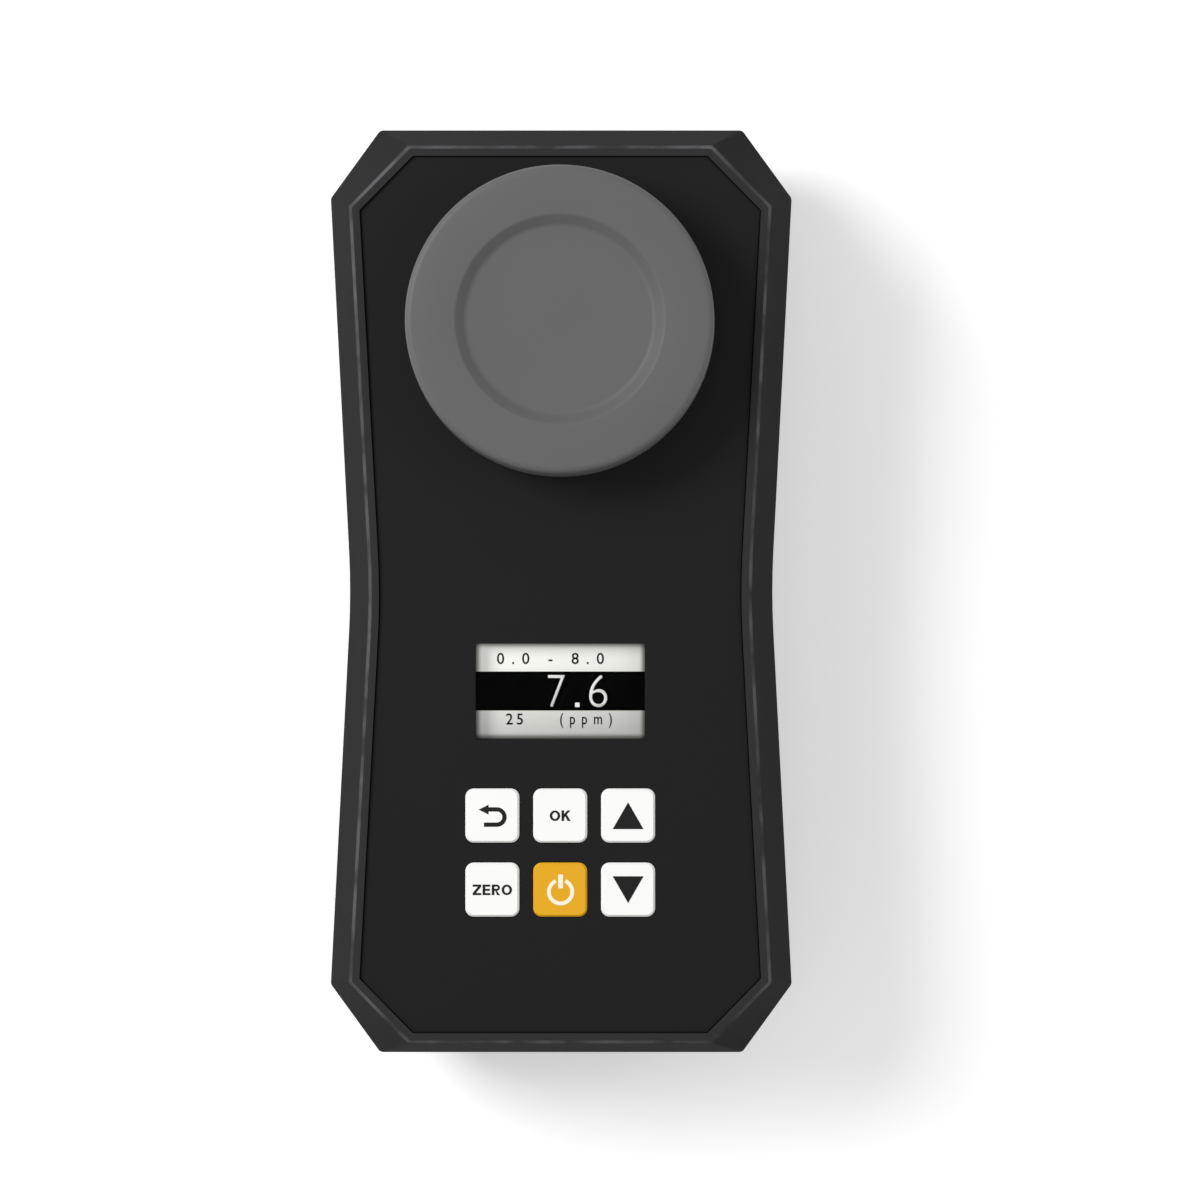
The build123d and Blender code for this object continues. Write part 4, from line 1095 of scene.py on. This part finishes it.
class PHOTOMETER_OT_stage(bpy.types.Operator):
    """Set a pale floor, soft studio lamps and a camera that looks straight down on the face"""

    bl_idname = "photometer.stage"
    bl_label = "Stage"

    def execute(self, context):
        self.floor(context.scene.photometer_colours.floor)
        self.world()
        self.lamp("Key lamp", (-0.6, 0.3, 0.7), 0.4, 6.8)
        self.lamp("Side lamp", (0.65, 0.0, 0.6), 0.5, 1.3)
        self.camera()
        context.scene.view_settings.view_transform = "Standard"
        return {"FINISHED"}

    def floor(self, colour):
        """A large pale floor that keeps the shadow and reads as white where the camera sees it."""
        clear_selection()
        bpy.ops.mesh.primitive_plane_add(size=6.0)
        floor = bpy.context.object
        floor.name = "floor"
        material, tree, shader = finish("Matt paper floor", colour, 0.9)
        seen = self.seen(tree)
        lift = add(tree, "ShaderNodeMath", {"operation": "MULTIPLY"}, {0: (seen, "Value")})
        lift.inputs[1].default_value = 0.35
        shader.inputs["Emission Color"].default_value = (1.0, 1.0, 1.0, 1.0)
        tree.links.new(lift.outputs[0], shader.inputs["Emission Strength"])
        floor.data.materials.append(material)

    def seen(self, tree):
        """One where the camera, a reflection or a view through glass sees the surface."""
        path = add(tree, "ShaderNodeLightPath")
        first = add(
            tree,
            "ShaderNodeMath",
            {"operation": "MAXIMUM"},
            {0: (path, "Is Camera Ray"), 1: (path, "Is Glossy Ray")},
        )
        return add(
            tree,
            "ShaderNodeMath",
            {"operation": "MAXIMUM"},
            {0: (first, "Value"), 1: (path, "Is Transmission Ray")},
        )

    def world(self):
        """A plain grey room for light, white where it is seen."""
        world = bpy.data.worlds.new("Studio")
        world.use_nodes = True
        bpy.context.scene.world = world
        tree = world.node_tree
        tree.nodes.clear()
        seen = self.seen(tree)
        room = add(tree, "ShaderNodeBackground", {"Color": (1.0, 1.0, 1.0, 1.0), "Strength": 0.38})
        white = add(tree, "ShaderNodeBackground", {"Color": (1.0, 1.0, 1.0, 1.0), "Strength": 1.0})
        both = add(
            tree,
            "ShaderNodeMixShader",
            None,
            {0: (seen, "Value"), 1: (room, "Background"), 2: (white, "Background")},
        )
        add(tree, "ShaderNodeOutputWorld", None, {"Surface": (both, "Shader")})

    def lamp(self, name, place, size, power):
        """A soft square lamp aimed at the middle of the face."""
        data = bpy.data.lights.new(name, "AREA")
        data.size = size
        data.energy = power
        lamp = bpy.data.objects.new(name, data)
        bpy.context.scene.collection.objects.link(lamp)
        lamp.location = place
        aim = Vector((0.0, 0.0, 0.03)) - Vector(place)
        lamp.rotation_euler = aim.to_track_quat("-Z", "Y").to_euler()

    def camera(self):
        """Straight above the face, shifted so that the meter sits where the photograph has it."""
        data = bpy.data.cameras.new("Camera")
        data.sensor_width = sensor
        data.lens = sensor * camera_height / (rim_scale * photo_width)
        data.shift_x = (photo_width / 2 - optical_axis[0]) / photo_width
        data.shift_y = (optical_axis[1] - photo_width / 2) / photo_width
        data.clip_start = 0.01
        camera = bpy.data.objects.new("Camera", data)
        bpy.context.scene.collection.objects.link(camera)
        camera.location = (
            (optical_axis[0] - face_centre[0]) * rim_scale * mm,
            (face_centre[1] - optical_axis[1]) * rim_scale * mm,
            (rim_level + camera_height) * mm,
        )
        bpy.context.scene.camera = camera


operators = (
    PHOTOMETER_OT_stage,
    PHOTOMETER_OT_finishes,
    PHOTOMETER_OT_light_cap,
    PHOTOMETER_OT_screws,
    PHOTOMETER_OT_feet,
    PHOTOMETER_OT_batteries,
    PHOTOMETER_OT_legends,
    PHOTOMETER_OT_display,
)


class PHOTOMETER_PT_panel(bpy.types.Panel):
    """Lists the meter's pieces, sizes and colours"""

    bl_idname = "PHOTOMETER_PT_panel"
    bl_label = "Photometer"
    bl_space_type = "VIEW_3D"
    bl_region_type = "UI"
    bl_category = "Photometer"

    def draw(self, context):
        for operator in operators:
            self.layout.operator(operator.bl_idname)
        for group in (context.scene.photometer_sizes, context.scene.photometer_colours):
            box = self.layout.box()
            for name in group.__annotations__:
                box.prop(group, name)


classes = (PhotometerSizes, PhotometerColours, *operators, PHOTOMETER_PT_panel)


def register():
    for item in classes:
        bpy.utils.register_class(item)
    bpy.types.Scene.photometer_sizes = PointerProperty(type=PhotometerSizes)
    bpy.types.Scene.photometer_colours = PointerProperty(type=PhotometerColours)


def unregister():
    del bpy.types.Scene.photometer_colours
    del bpy.types.Scene.photometer_sizes
    for item in reversed(classes):
        bpy.utils.unregister_class(item)


def main():
    register()
    bpy.ops.photometer.stage()
    bpy.ops.photometer.finishes()
    bpy.ops.photometer.light_cap()
    bpy.ops.photometer.screws()
    bpy.ops.photometer.feet()
    bpy.ops.photometer.batteries()
    bpy.ops.photometer.legends()
    bpy.ops.photometer.display()


if __name__ == "__main__":
    main()
